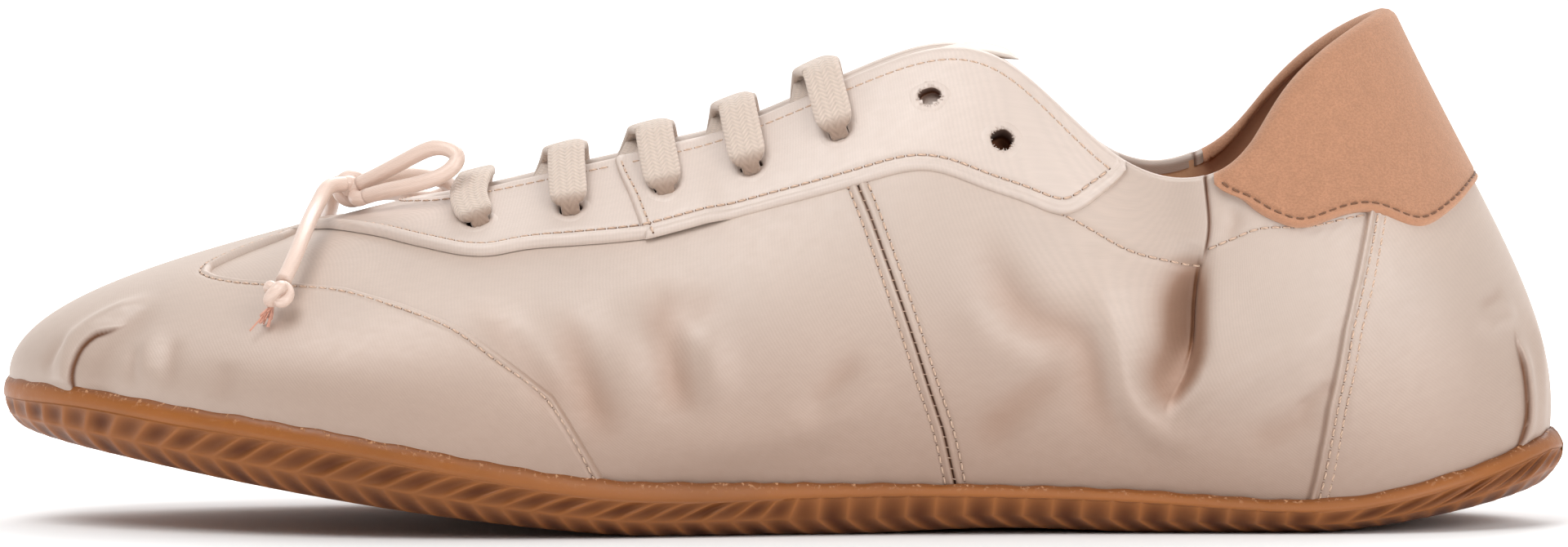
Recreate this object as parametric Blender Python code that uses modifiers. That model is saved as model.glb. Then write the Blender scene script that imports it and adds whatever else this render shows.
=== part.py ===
"""Ballet sneaker, left shoe, satin upper on a gum rubber cup sole.

The toe points along -X, the lateral side faces -Y and the sole stands on z = 0.
Lengths are in millimetres until mesh_object turns them into metres with MM.

Everything on the foot is one function, skin(around, up). around runs 0 to 1 round the
feather line, where the upper meets the sole: toe tip 0, lateral side, heel 0.5, medial side.
up runs from 0 at the feather line to 1 at the edge of the throat and collar.
"""

import math

import bmesh
import bpy
import numpy as np
from mathutils import Matrix, Vector

MM = 0.001

# ---- driving sizes
WALL = 1.8            # satin, interlining and leather lining together
GAP = 0.4             # clearance between pieces that lie on each other
ROUND_GAP = 0.7       # the same where the skin is round, whose facets need more room
PANEL = 0.8           # an overlay with its turned edge
TAB = 1.2             # suede heel tab
SEAM_STEP = 0.6       # height of the raised counter seam
SKIN_CLEARANCE = 0.02  # share of a rib that an overlay stays above the sole's lip
INWARD_PULL = 6.0     # turns the ribs' upper handles towards the middle of the foot

SOLE_BULGE_TOE = 1.7
SOLE_BULGE_HEEL = 2.8
LIP_BAND = 2.6        # smooth band at the top of the sole's side
LIP_EDGE = 1.2        # width of the lip's top edge
SOLE_INSET_SIDE = 5.0  # from the feather line in to the flat of the sole
SOLE_INSET_END = 2.5
SOLE_END_SHARE = 0.12  # share of a side that counts as the sole's end
CUP_SHARE = 0.5       # share of the side's height that the cup is deep
RIB_COUNT = 50        # ribs along one side
RIB_DEPTH = 0.8
RIBS_FAN_OUT = (0.14, 0.12)  # shares of a side at toe and heel where the ribs turn upright
# rings down the rolled side, from the smooth band to the flat of the sole
SIDE_RINGS = (
    # degrees round, share of the rib depth, shift along in rib pitches
    (0, 0.0, 1.1),
    (6, 1.0, 1.1),
    (28, 1.0, 0.0),
    (62, 1.0, 1.1),
    (90, 0.0, 1.1),
)

TOE_SPRING_FROM = -22.0
TOE_SPRING = (98.0, 14.4, 1.3)     # run, rise at that run, power
ARCH_FROM, ARCH_TO, ARCH_RISE = 8.0, 62.0, 0.8
HEEL_CURL_FROM = 86.0
HEEL_CURL = (33.7, 5.3, 1.5)       # run, rise at that run, power

INSOLE_THICK = 3.0
INSOLE_INSET = 2.8
INSOLE_COLUMNS = 60
EYELET_RADIUS = 1.9
EYELET_BAR = 5.0      # the cutter's reach on either side of the skin
LACE_WIDTH = 5.6
LACE_THICK = 1.1
CORD_RADIUS = 1.6

# ---- ribs of the last, toe to heel, in millimetres and degrees
# feather_x, feather_y on the lateral and on the medial side: where the rib leaves the sole
# top_x, top_y: where it ends, top_y on either side of the middle
# lateral_z, medial_z: height of that end on either side
# lean, belly: direction and reach of the rib's lower handle
# slope, shoulder: direction and reach of its upper handle
RIBS = np.array([
    # feather_x lateral medial  top_x  top_y  lateral_z medial_z  lean belly slope shoulder
    (-125.8,      4.0,    4.0,  -59.5,  0.0,     52.5,    52.5,    2,  0.17,  14,  0.50),
    (-119.5,    -13.5,   21.0,  -59.0,  3.0,     52.6,    52.6,    6,  0.18,  16,  0.48),
    (-104.0,    -26.4,   31.6,  -57.0,  6.0,     53.0,    53.0,    8,  0.22,  19,  0.45),
    (-84.0,     -36.2,   38.8,  -52.0,  7.6,     53.9,    53.9,    9,  0.29,  25,  0.45),
    (-62.0,     -41.2,   41.3,  -43.5,  8.6,     56.0,    56.0,    9,  0.36,  32,  0.42),
    (-38.0,     -40.2,   36.1,  -28.5,  9.8,     59.6,    59.6,    9,  0.40,  38,  0.40),
    (-12.0,     -35.6,   27.8,   -8.0, 11.2,     65.2,    65.2,   10,  0.42,  45,  0.38),
    (14.0,      -31.6,   24.8,   14.5, 12.8,     74.8,    74.8,   10,  0.40,  50,  0.36),
    (38.0,      -29.8,   25.6,   35.3, 15.5,     76.3,    75.9,   10,  0.38,  58,  0.34),
    (60.0,      -28.8,   27.0,   54.7, 23.0,     60.2,    59.8,   10,  0.36,  74,  0.32),
    (80.0,      -28.2,   27.6,   71.5, 26.0,     59.4,    61.4,    9,  0.36,  86,  0.32),
    (98.0,      -26.0,   25.6,   80.9, 22.8,     71.2,    71.2,    8,  0.35,  82,  0.34),
    (113.0,     -19.5,   19.3,   89.4, 15.8,     79.2,    79.2,    8,  0.32,  73,  0.40),
    (124.5,       0.0,    0.0,   97.6,  0.0,     84.0,    84.0,    6,  0.26,  65,  0.48),
])

# ---- height of the feather line, which is also the top line of the sole
FEATHER = np.array([
    # x       z
    (-125.8, 23.6), (-115.0, 23.3), (-100.0, 21.3), (-85.0, 19.3), (-62.0, 15.4),
    (-43.0, 11.8), (-29.0, 9.6), (-10.0, 8.8), (15.0, 8.4), (43.0, 7.8), (65.0, 6.6),
    (80.0, 5.6), (90.0, 5.9), (104.0, 8.5), (114.0, 11.4), (124.7, 15.4),
])

# ---- outlines of the overlays on the lateral side, as shares round and up the skin
# the medial side takes the same shares from the other end
TOE_CAP_TOP = np.array([
    # around  up
    (0.000, 0.578), (0.039, 0.575), (0.063, 0.530), (0.089, 0.540), (0.113, 0.532),
    (0.137, 0.466), (0.158, 0.388), (0.174, 0.288), (0.189, 0.197), (0.200, 0.075),
])
VAMP_STRIP_SIDE = np.array([
    # around  up
    (0.0385, 0.592), (0.034, 0.648), (0.030, 0.705), (0.027, 0.750), (0.020, 0.792),
])
FRONT_STAY = np.array([
    # foot around, foot up, top around
    (0.000, 0.808, 0.000), (0.020, 0.822, 0.020), (0.037, 0.828, 0.037),
    (0.055, 0.817, 0.054), (0.085, 0.794, 0.082), (0.105, 0.768, 0.100),
    (0.128, 0.719, 0.120), (0.144, 0.679, 0.135), (0.157, 0.665, 0.147),
    (0.168, 0.680, 0.157), (0.185, 0.682, 0.171), (0.206, 0.690, 0.188),
])
REAR_STAY = np.array([
    # foot around, foot up, top around
    (0.210, 0.679, 0.192), (0.231, 0.693, 0.215), (0.252, 0.696, 0.240),
    (0.277, 0.693, 0.268), (0.297, 0.691, 0.292), (0.314, 0.650, 0.313),
    (0.328, 0.645, 0.329), (0.340, 0.673, 0.342), (0.350, 0.768, 0.352),
    (0.357, 0.870, 0.359),
])
HEEL_TAB = np.array([
    # around  up
    (0.396, 0.960), (0.403, 0.885), (0.408, 0.817), (0.415, 0.748), (0.422, 0.699),
    (0.436, 0.665), (0.449, 0.642), (0.455, 0.607), (0.460, 0.585), (0.469, 0.596),
    (0.481, 0.625), (0.489, 0.645), (0.500, 0.655),
])
PANEL_TOP = 0.985     # overlays end just under the edge of the throat

EYELETS = np.array([
    # around  up
    (0.142, 0.817), (0.180, 0.817), (0.214, 0.831), (0.243, 0.837),
    (0.271, 0.851), (0.300, 0.877), (0.322, 0.777),
])
LACED_ROWS = 5

# counter seam on the lateral side: its foot, and how far round it moves on the way up
SEAM_AROUND = 0.407
SEAM_DRIFT = 0.066
SEAM_REACH = 0.085    # distance over which the neighbouring ribs follow the seam

# columns and rows of the upper's mesh, which its overlays share
FRONT_COLUMNS, REAR_COLUMNS = 27, 10  # before and behind the counter seam, on one side
COLUMN_BUNCHING = 0.05  # how much closer the columns stand at toe and heel
SEAM_WIDTH = 0.0024   # share of the ring over which the skin steps up
UPPER_ROWS = (0.0, 0.07, 0.17, 0.29, 0.42, 0.56, 0.71, 0.86, 1.0)
EVEN_ROWS = (0.0, 1 / 3, 2 / 3, 1.0)
TAB_ROWS = (0.0, 0.3, 0.65, 1.0)

# ---- tongue and laces, which lie on the throat's bridge
BRIDGE_REACH = 0.2    # share of a rib that it covers on either side
BRIDGE_ARCH = 0.1     # how much of the skin's climb carries on into its arch
BRIDGE_EDGE = 0.02    # share of a rib over which that climb is read

TONGUE_THICK = 2.0
TONGUE_LIFT = -(WALL + GAP + 0.6)
TONGUE_FROM, TONGUE_FREE, TONGUE_TO = 0.05, 0.27, 0.325  # shares round, toe to tip
TONGUE_WIDE, TONGUE_NARROW = 0.86, 0.36  # half widths across the bridge
TONGUE_TAPER = 0.4    # share of the free end over which it narrows
TONGUE_RISE = 3.2     # how far its tip stands up from the bridge

LACE_LIFT = ROUND_GAP + PANEL + GAP + LACE_THICK / 2 + 0.3
LACE_UNDER = -1.0     # lift of a lace's end where it goes under the throat's edge
LACE_FROM = 0.3       # how far from the middle of the bridge that end is
LACE_CLIMB = 0.45     # share of a lace's length over which it climbs to the top
LACE_OVER = 0.4       # the upper lace's extra rise at a crossing
LACE_STEP = 0.016     # from a pair of eyelets on to where the next crossing starts

# ---- satin bow: routes by hand, lateral side then medial side
BOW_KNOT_AT = (-70.4, 0.0, 54.4)
BOW_KNOT_HALF = (2.7, 3.5, 2.5)
BOW_ENDS = {
    "lateral": [
        (-71.5, -4.1, 55.3), (-74.0, -6.2, 54.9), (-75.3, -9.2, 53.0), (-76.3, -13.4, 50.9),
        (-77.3, -19.8, 48.3), (-78.6, -26.6, 44.6), (-80.2, -32.0, 40.9),
    ],
    "medial": [
        (-71.6, 4.1, 55.3), (-73.6, 6.8, 54.6), (-74.2, 10.6, 52.6), (-74.6, 15.0, 50.8),
        (-75.6, 21.4, 48.4), (-77.2, 28.0, 45.0), (-79.1, 34.0, 40.8),
    ],
}
BOW_LOOPS = {
    "lateral": [
        (-69.2, -3.9, 55.2), (-64.6, -6.2, 57.6), (-60.0, -8.4, 60.1), (-56.0, -10.2, 61.5),
        (-53.0, -11.8, 60.2), (-54.6, -13.0, 57.6), (-59.0, -12.2, 55.8), (-64.0, -9.8, 54.6),
        (-68.0, -6.9, 53.4),
    ],
    "medial": [
        (-69.2, 3.9, 55.2), (-64.8, 7.0, 56.2), (-60.4, 10.4, 56.2), (-56.6, 14.6, 55.2),
        (-55.2, 19.4, 53.5), (-58.0, 21.4, 51.9), (-62.4, 18.4, 52.5), (-65.0, 12.4, 53.2),
        (-67.0, 7.6, 53.2),
    ],
}
END_KNOTS = {"lateral": (-81.0, -34.2, 39.0), "medial": (-80.0, 36.2, 39.0)}
END_KNOT_HALF = (2.6, 2.6, 2.9)

# ---- colours, linear
SATIN = (0.63, 0.48, 0.40)
STAY_SATIN = (0.74, 0.62, 0.54)
GUM = (0.31, 0.13, 0.055)
SUEDE = (0.55, 0.29, 0.17)
LEATHER = (0.61, 0.36, 0.21)
COTTON = (0.75, 0.66, 0.58)
CORD_SATIN = (0.70, 0.55, 0.47)


# ---------------------------------------------------------------- the last
def spline(keys, values, at):
    """Natural cubic through values at keys, read at the points of at."""
    steps = np.diff(keys)
    count = len(keys)
    matrix = np.eye(count)
    right = np.zeros((count, values.shape[1]))
    for i in range(1, count - 1):
        matrix[i, i - 1:i + 2] = steps[i - 1], 2 * (steps[i - 1] + steps[i]), steps[i]
        rise = (values[i + 1] - values[i]) / steps[i]
        before = (values[i] - values[i - 1]) / steps[i - 1]
        right[i] = 6 * (rise - before)
    bend = np.linalg.solve(matrix, right)
    left = np.clip(np.searchsorted(keys, at) - 1, 0, count - 2)
    step = steps[left][..., None]
    ahead = (keys[left + 1] - at)[..., None]
    behind = (at - keys[left])[..., None]
    curve = (bend[left] * ahead**3 + bend[left + 1] * behind**3) / (6 * step)
    line = (values[left] / step - bend[left] * step / 6) * ahead
    line += (values[left + 1] / step - bend[left + 1] * step / 6) * behind
    return curve + line


def rib_ring():
    """Keys and rows of the ribs round the whole shoe, with a few repeated at both ends."""
    lateral = np.delete(RIBS, [2, 6], axis=1)
    medial = np.delete(RIBS, [1, 5], axis=1)
    lateral[:, 3] *= -1
    lateral_steps = np.linalg.norm(np.diff(lateral[:, :2], axis=0), axis=1)
    medial_steps = np.linalg.norm(np.diff(medial[:, :2], axis=0), axis=1)
    along = np.concatenate([[0], np.cumsum((lateral_steps + medial_steps) / 2)])
    half = along[-1]
    keys = np.concatenate([along, 2 * half - along[-2:0:-1]])
    rows = np.vstack([lateral, medial[-2:0:-1]])
    more = 4
    keys = np.concatenate([keys[-more:] - 2 * half, keys, keys[:more + 1] + 2 * half])
    rows = np.vstack([rows[-more:], rows, rows[:more + 1]])
    return keys / (2 * half), rows


RING_KEYS, RING_ROWS = rib_ring()


def feather_height(x):
    x = np.clip(x, FEATHER[0, 0], FEATHER[-1, 0])
    return spline(FEATHER[:, 0], FEATHER[:, 1:], x)[..., 0]


def ribs_at(around):
    return spline(RING_KEYS, RING_ROWS, np.mod(around, 1.0))


def outward(around):
    """Unit normals of the feather line in plan, pointing away from the foot."""
    small = 1e-4
    along = (ribs_at(around + small) - ribs_at(around - small))[..., :2]
    along /= np.linalg.norm(along, axis=-1, keepdims=True)
    return np.stack([along[..., 1], -along[..., 0], np.zeros_like(along[..., 0])], axis=-1)


def surface(around, up):
    """Outer face of the upper: one cubic Bezier rib for each value of around."""
    around, up = np.broadcast_arrays(np.asarray(around, float), np.asarray(up, float))
    rows = ribs_at(around)
    lean, belly, slope, shoulder = (rows[..., i, None] for i in range(5, 9))
    foot = np.stack([rows[..., 0], rows[..., 1], feather_height(rows[..., 0])], axis=-1)
    top = rows[..., 2:5]
    out = outward(around)
    chord = np.linalg.norm(top - foot, axis=-1, keepdims=True)
    inward = (top - foot) * (1, 1, 0) - INWARD_PULL * out
    inward /= np.linalg.norm(inward, axis=-1, keepdims=True)
    lean, slope = np.radians(lean), np.radians(slope)
    vertical = np.array((0.0, 0.0, 1.0))
    low = foot + belly * chord * (np.cos(lean) * vertical + np.sin(lean) * out)
    high = top - shoulder * chord * (np.cos(slope) * inward + np.sin(slope) * vertical)
    t = up[..., None]
    s = 1 - t
    return s**3 * foot + 3 * s * s * t * low + 3 * s * t * t * high + t**3 * top


def skin(around, up, lift=0.0):
    """The outer face, raised by lift along its own normal."""
    small = 1e-4
    across = surface(around + small, up) - surface(around - small, up)
    rise = surface(around, up + small) - surface(around, up - small)
    normal = np.cross(across, rise)
    normal /= np.linalg.norm(normal, axis=-1, keepdims=True)
    return surface(around, up) + normal * np.asarray(lift)[..., None]


def throat_bridge(around, across, lift=0.0):
    """A surface from one side of the throat to the other.

    across runs -1 to 1. From -1 to -0.5 it climbs the lateral skin to the throat's edge,
    from -0.5 to 0.5 it crosses the open throat in a low arch, then it runs down the medial skin.
    """
    def point(around, across):
        side = np.where(across < 0, around, 1 - around)
        up = 1 - 2 * BRIDGE_REACH * np.clip(np.abs(across) - 0.5, 0, 1)
        on_skin = surface(side, up)
        left, right = surface(around, 1.0), surface(1 - around, 1.0)
        left_way = left - surface(around, 1.0 - BRIDGE_EDGE)
        right_way = right - surface(1 - around, 1.0 - BRIDGE_EDGE)
        gap = np.linalg.norm(right - left, axis=-1, keepdims=True)
        flatten = np.array((1.0, 1.0, BRIDGE_ARCH))
        left_way = left_way * flatten / np.linalg.norm(left_way, axis=-1, keepdims=True)
        right_way = right_way * flatten / np.linalg.norm(right_way, axis=-1, keepdims=True)
        t = np.clip(across + 0.5, 0, 1)[..., None]
        s = 1 - t
        arch = s**3 * left + 3 * s * s * t * (left + gap * left_way / 3)
        arch = arch + 3 * s * t * t * (right + gap * right_way / 3) + t**3 * right
        inside = (np.abs(across) < 0.5)[..., None]
        return np.where(inside, arch, on_skin)

    around, across = np.broadcast_arrays(np.asarray(around, float), np.asarray(across, float))
    small = 1e-3
    along_throat = point(around + small, across) - point(around - small, across)
    over_throat = point(around, across + small) - point(around, across - small)
    normal = np.cross(along_throat, over_throat)
    normal /= np.linalg.norm(normal, axis=-1, keepdims=True)
    return point(around, across) + normal * np.asarray(lift)[..., None], normal


# ---------------------------------------------------------------- the sole's function
def sole_underside(x):
    """Height of the sole's bottom: toe spring, forefoot flat, arch, heel flat, heel curl."""
    run, rise, power = TOE_SPRING
    toe = rise * (np.clip(TOE_SPRING_FROM - x, 0, None) / run) ** power
    run, rise, power = HEEL_CURL
    heel = rise * (np.clip(x - HEEL_CURL_FROM, 0, None) / run) ** power
    share = np.clip((x - ARCH_FROM) / (ARCH_TO - ARCH_FROM), 0, 1)
    arch = ARCH_RISE * np.sin(math.pi * share) ** 2
    return toe + heel + arch


def foot_ring(around, offset):
    """The feather line in plan, moved out by offset, as x and y."""
    rows = ribs_at(around)
    return rows[..., :2] + outward(around)[..., :2] * np.asarray(offset)[..., None]


# ---------------------------------------------------------------- Blender helpers
def material(name, colour, roughness):
    made = bpy.data.materials.new(name)
    made.use_nodes = True
    shader = made.node_tree.nodes["Principled BSDF"]
    shader.inputs["Base Color"].default_value = (*colour, 1.0)
    shader.inputs["Roughness"].default_value = roughness
    return made


def link(obj, finish, collection="ballet_sneaker"):
    if collection not in bpy.data.collections:
        made = bpy.data.collections.new(collection)
        bpy.context.scene.collection.children.link(made)
    bpy.data.collections[collection].objects.link(obj)
    if finish:
        obj.data.materials.append(finish)
    return obj


def mesh_object(name, points, faces, finish, collection="ballet_sneaker"):
    mesh = bpy.data.meshes.new(name)
    mesh.from_pydata((np.asarray(points) * MM).reshape(-1, 3).tolist(), [], faces)
    mesh.shade_smooth()
    return link(bpy.data.objects.new(name, mesh), finish, collection)


def grid_faces(rows, columns, closed=False):
    """Quads of a grid stored row by row. closed joins the last column to the first."""
    faces = []
    for row in range(rows - 1):
        for column in range(columns if closed else columns - 1):
            beside = (column + 1) % columns
            low, high = row * columns, (row + 1) * columns
            faces.append((low + column, low + beside, high + beside, high + column))
    return faces


def thicken(obj, thickness, offset):
    wall = obj.modifiers.new("wall", "SOLIDIFY")
    wall.thickness = thickness * MM
    wall.offset = offset
    wall.use_even_offset = True
    return obj


def cut(obj, cutter):
    hole = obj.modifiers.new("holes", "BOOLEAN")
    hole.operation = "DIFFERENCE"
    hole.object = cutter
    return obj


def join(obj, other):
    """Boolean union, applied to the first object's mesh. The second object goes."""
    union = obj.modifiers.new("union", "BOOLEAN")
    union.operation = "UNION"
    union.object = other
    graph = bpy.context.evaluated_depsgraph_get()
    merged = bpy.data.meshes.new_from_object(obj.evaluated_get(graph))
    obj.modifiers.clear()
    obj.data = merged
    bpy.data.objects.remove(other)
    return obj


def panel(name, foot, top, shares, lift, thickness, finish):
    """An overlay: rows at the given shares of the straight way from each foot to its top."""
    share = np.array(shares)[:, None, None]
    spots = foot * (1 - share) + top * share
    points = skin(spots[..., 0], spots[..., 1], lift + thickness / 2)
    faces = grid_faces(len(shares), len(foot))
    return thicken(mesh_object(name, points, faces, finish), thickness, 0)


def resampled(table, count):
    """A table's rows, read at count even steps along it through a spline."""
    keys = np.linspace(0, 1, len(table))
    return spline(keys, table, np.linspace(0, 1, count))


def mirrored(table, around_columns):
    """A lateral half table followed from the medial side: medial rows, then lateral rows."""
    other = table[:0:-1].copy()
    other[:, around_columns] *= -1
    return np.vstack([other, table])


def tube(name, route, finish):
    """A round cord along a smooth curve through the route's points."""
    route = np.array(route)
    count = round(np.linalg.norm(np.diff(route, axis=0), axis=1).sum() / (2 * CORD_RADIUS))
    points = resampled(route, count + 1)
    curve = bpy.data.curves.new(name, "CURVE")
    curve.dimensions = "3D"
    curve.bevel_depth = CORD_RADIUS * MM
    curve.bevel_resolution = 2
    curve.use_fill_caps = True
    line = curve.splines.new("POLY")
    line.points.add(len(points) - 1)
    for spot, point in zip(line.points, points * MM):
        spot.co = (*point, 1.0)
    return link(bpy.data.objects.new(name, curve), finish)


def ball(name, centre, half, finish):
    mesh = bpy.data.meshes.new(name)
    shape = bmesh.new()
    size = Matrix.Diagonal((*[value * MM for value in half], 1.0))
    bmesh.ops.create_uvsphere(shape, u_segments=10, v_segments=6, radius=1.0, matrix=size)
    shape.to_mesh(mesh)
    shape.free()
    mesh.shade_smooth()
    made = link(bpy.data.objects.new(name, mesh), finish)
    made.location = Vector(centre) * MM
    return made


# ---------------------------------------------------------------- sole and insole
def cross_strips(start, count, facing_up):
    """Strips that close a ring of count points, from its lateral to its medial half."""
    half = count // 2
    faces = [(0, 1, count - 1), (half - 1, half, half + 1)]
    faces += [(i, i + 1, count - i - 1, count - i) for i in range(1, half - 1)]
    faces = [tuple(start + i for i in face) for face in faces]
    return faces if facing_up else [face[::-1] for face in faces]


def lofted_rings(name, rings, finish):
    """A solid through closed rings that run from its top face over the outside to its bottom."""
    count = len(rings[0])
    faces = [face[::-1] for face in grid_faces(len(rings), count, closed=True)]
    faces += cross_strips(0, count, True)
    faces += cross_strips((len(rings) - 1) * count, count, False)
    return mesh_object(name, np.array(rings), faces, finish)


def cup_floor(x):
    """Height of the seat inside the sole's rim, where the upper and the insole stand."""
    top, bottom = feather_height(x), sole_underside(x)
    return top - CUP_SHARE * (top - bottom)


def build_outsole(finish):
    """Cup sole: seat, lip, smooth band, a ribbed rolled side and a flat bottom."""
    count = 4 * RIB_COUNT
    along = np.arange(count) / count
    to_heel = 1 - np.abs(2 * along - 1)
    side = np.where(along < 0.5, 1.0, -1.0)
    bulge = SOLE_BULGE_TOE + (SOLE_BULGE_HEEL - SOLE_BULGE_TOE) * to_heel**2
    end_share = np.clip(1 - np.minimum(to_heel, 1 - to_heel) / SOLE_END_SHARE, 0, 1)
    inset = SOLE_INSET_SIDE + (SOLE_INSET_END - SOLE_INSET_SIDE) * end_share
    # the chevrons open up towards the toe and the heel, where they end upright
    fan_toe, fan_heel = RIBS_FAN_OUT
    opening = np.clip(np.minimum(to_heel / fan_toe, (1 - to_heel) / fan_heel), 0, 1)
    groove = np.arange(count) % 2 * RIB_DEPTH

    def ring(offset, height, shear=0.0, rib=0.0):
        around = along + side * shear * opening / (2 * RIB_COUNT)
        plan = foot_ring(around, offset - rib * groove)
        return np.column_stack([plan, height(plan[:, 0])])

    def rolled(angle, rib, shear):
        """A ring on the quarter ellipse between the smooth band and the flat bottom."""
        turn = math.radians(angle)
        offset = (inset + bulge) * math.cos(turn) - inset

        def height(x):
            band_foot = feather_height(x) - LIP_BAND
            return band_foot - (band_foot - sole_underside(x)) * math.sin(turn)

        return ring(offset, height, shear, rib)

    shear = SIDE_RINGS[0][-1]
    rings = [
        ring(GAP, cup_floor, shear),
        ring(GAP, feather_height, shear),
        ring(GAP + LIP_EDGE, feather_height, shear),
    ]
    rings += [rolled(*row) for row in SIDE_RINGS]
    return lofted_rings("outsole", rings, finish)


def build_insole(finish):
    """A plain sock inside the upper's wall, following the seat of the sole."""
    around = np.arange(INSOLE_COLUMNS) / INSOLE_COLUMNS
    plan = foot_ring(around, -INSOLE_INSET)
    floor = cup_floor(plan[:, 0]) + GAP
    rings = [
        np.column_stack([plan, floor + INSOLE_THICK]),
        np.column_stack([plan, floor]),
    ]
    return lofted_rings("insole", rings, finish)


# ---------------------------------------------------------------- upper and what lies on it
def upper_columns(start=0.0, end=0.5):
    """Shares round the lateral half, closer at toe and heel, with a pair at the counter seam.

    Overlays take the columns between start and end, so that they lie parallel to the wall.
    """
    step = SEAM_WIDTH / 2
    front = np.linspace(0, 1, FRONT_COLUMNS)
    front = (SEAM_AROUND - step) * (front - COLUMN_BUNCHING * np.sin(2 * math.pi * front))
    rear = np.linspace(SEAM_AROUND + step, 0.5, REAR_COLUMNS)
    columns = np.concatenate([front, rear])
    inside = columns[(columns > start + step) & (columns < end - step)]
    return np.concatenate([[start], inside, [end]])


def build_upper(finish, cutter):
    """The hollow satin upper, with the counter raised behind its seam."""
    half = upper_columns()
    around = np.concatenate([half, 1 - half[-2:0:-1]])
    up = np.array(UPPER_ROWS)[:, None]
    lateral = np.minimum(around, 1 - around)
    follow = np.clip(1 - np.abs(lateral - SEAM_AROUND) / SEAM_REACH, 0, 1)
    drift = SEAM_DRIFT * up * follow * np.where(around < 0.5, 1, -1)
    raised = np.where(lateral > SEAM_AROUND, SEAM_STEP, 0.0) * np.clip(up / UPPER_ROWS[1], 0, 1)
    skin_rows = skin(around + drift, up * np.ones_like(around), raised)
    plan = foot_ring(around, np.zeros_like(around))
    skirt = np.column_stack([plan, cup_floor(plan[:, 0]) + GAP])
    rows = np.concatenate([skirt[None], skin_rows])
    made = mesh_object("upper", rows, grid_faces(len(rows), len(around), closed=True), finish)
    return cut(thicken(made, WALL, -1), cutter)


def eyelet_cutter():
    """One mesh of round bars, square to the skin, through all eyelets."""
    shape = bmesh.new()
    for around, up in EYELETS:
        for side in (around, 1 - around):
            inner, outer = skin(side, up, -EYELET_BAR) * MM, skin(side, up, EYELET_BAR) * MM
            way = Vector(outer - inner)
            turn = way.to_track_quat("Z", "Y").to_matrix().to_4x4()
            place = Matrix.Translation(Vector((inner + outer) / 2)) @ turn
            bmesh.ops.create_cone(
                shape, cap_ends=True, segments=8, radius1=EYELET_RADIUS * MM,
                radius2=EYELET_RADIUS * MM, depth=way.length, matrix=place)
    mesh = bpy.data.meshes.new("eyelet_cutter")
    shape.to_mesh(mesh)
    shape.free()
    made = link(bpy.data.objects.new("eyelet_cutter", mesh), None, "cutters")
    made.hide_render = True
    made.display_type = "WIRE"
    return made


def outline_at(table, around):
    """The outline's height at each value of around, with around beside it."""
    return np.column_stack([around, spline(table[:, 0], table[:, 1:], around)])


def build_toe(finish):
    top = mirrored(outline_at(TOE_CAP_TOP, upper_columns(0.0, TOE_CAP_TOP[-1, 0])), 0)
    foot = top.copy()
    foot[:, 1] = SKIN_CLEARANCE
    wall_rows = [row / TOE_CAP_TOP[0, 1] for row in UPPER_ROWS[1:5]]
    panel("toe_cap", foot, top, [0, *wall_rows, 1], ROUND_GAP, PANEL, finish)
    side = resampled(VAMP_STRIP_SIDE, 5)
    panel("vamp_strip", side, side * (-1, 1), EVEN_ROWS, GAP, PANEL, finish)


def stay_edges(table):
    """Foot and top outline of an eyestay table, as shares of the skin."""
    top = np.column_stack([table[:, 2], np.full(len(table), PANEL_TOP)])
    return table[:, :2], top


def build_eyestays(finish, cutter):
    foot, top = stay_edges(mirrored(resampled(FRONT_STAY, 15), [0, 2]))
    cut(panel("eyestay_front", foot, top, EVEN_ROWS, ROUND_GAP, PANEL, finish), cutter)
    foot, top = stay_edges(resampled(REAR_STAY, 12))
    cut(panel("eyestay_lateral", foot, top, EVEN_ROWS, ROUND_GAP, PANEL, finish), cutter)
    # the medial rows run the other way, so that the faces still point out
    other = np.array((1.0, 0.0))
    turn = np.array((-1.0, 1.0))
    foot, top = (other + edge[::-1] * turn for edge in (foot, top))
    cut(panel("eyestay_medial", foot, top, EVEN_ROWS, ROUND_GAP, PANEL, finish), cutter)


def build_heel_tab(finish):
    half = outline_at(HEEL_TAB, upper_columns(HEEL_TAB[0, 0]))
    foot = np.vstack([half, half[-2::-1] * (-1, 1) + (1, 0)])
    top = np.column_stack([foot[:, 0], np.full(len(foot), 1.0)])
    panel("heel_tab", foot, top, TAB_ROWS, GAP + SEAM_STEP, TAB, finish)


def build_tongue(finish):
    """Under the stays it lies on the wall; past the instep it narrows and stands up."""
    along = np.linspace(TONGUE_FROM, TONGUE_TO, 12)[:, None]
    free = np.clip((along - TONGUE_FREE) / (TONGUE_TO - TONGUE_FREE), 0, 1)
    taper = np.clip(free / TONGUE_TAPER, 0, 1)
    half_width = TONGUE_WIDE + (TONGUE_NARROW - TONGUE_WIDE) * taper
    across = half_width * np.linspace(-1, 1, 7)
    points, _ = throat_bridge(along, across, TONGUE_LIFT + TONGUE_RISE * free**2)
    faces = [face[::-1] for face in grid_faces(*across.shape)]
    thicken(mesh_object("tongue", points, faces, finish), TONGUE_THICK, -1)


# ---------------------------------------------------------------- laces and bow
def strap(name, start, end, finish, raised=0.0):
    """A flat lace over the throat. start and end are (around, across, lift)."""
    t = np.linspace(0, 1, 11)
    start, end = np.array(start), np.array(end)
    around = start[0] + (end[0] - start[0]) * t
    across = start[1] + (end[1] - start[1]) * t
    lift = start[2] + (end[2] - start[2]) * np.clip(t / LACE_CLIMB, 0, 1)
    lift = lift + raised * 4 * t * (1 - t)
    centre, normal = throat_bridge(around, across, lift)
    way = np.gradient(centre, axis=0)
    beside = np.cross(normal, way)
    beside *= LACE_WIDTH / 2 / np.linalg.norm(beside, axis=-1, keepdims=True)
    points = np.stack([centre - beside, centre + beside])
    faces = [face[::-1] for face in grid_faces(2, len(t))]
    return thicken(mesh_object(name, points, faces, finish), LACE_THICK, 0)


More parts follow.
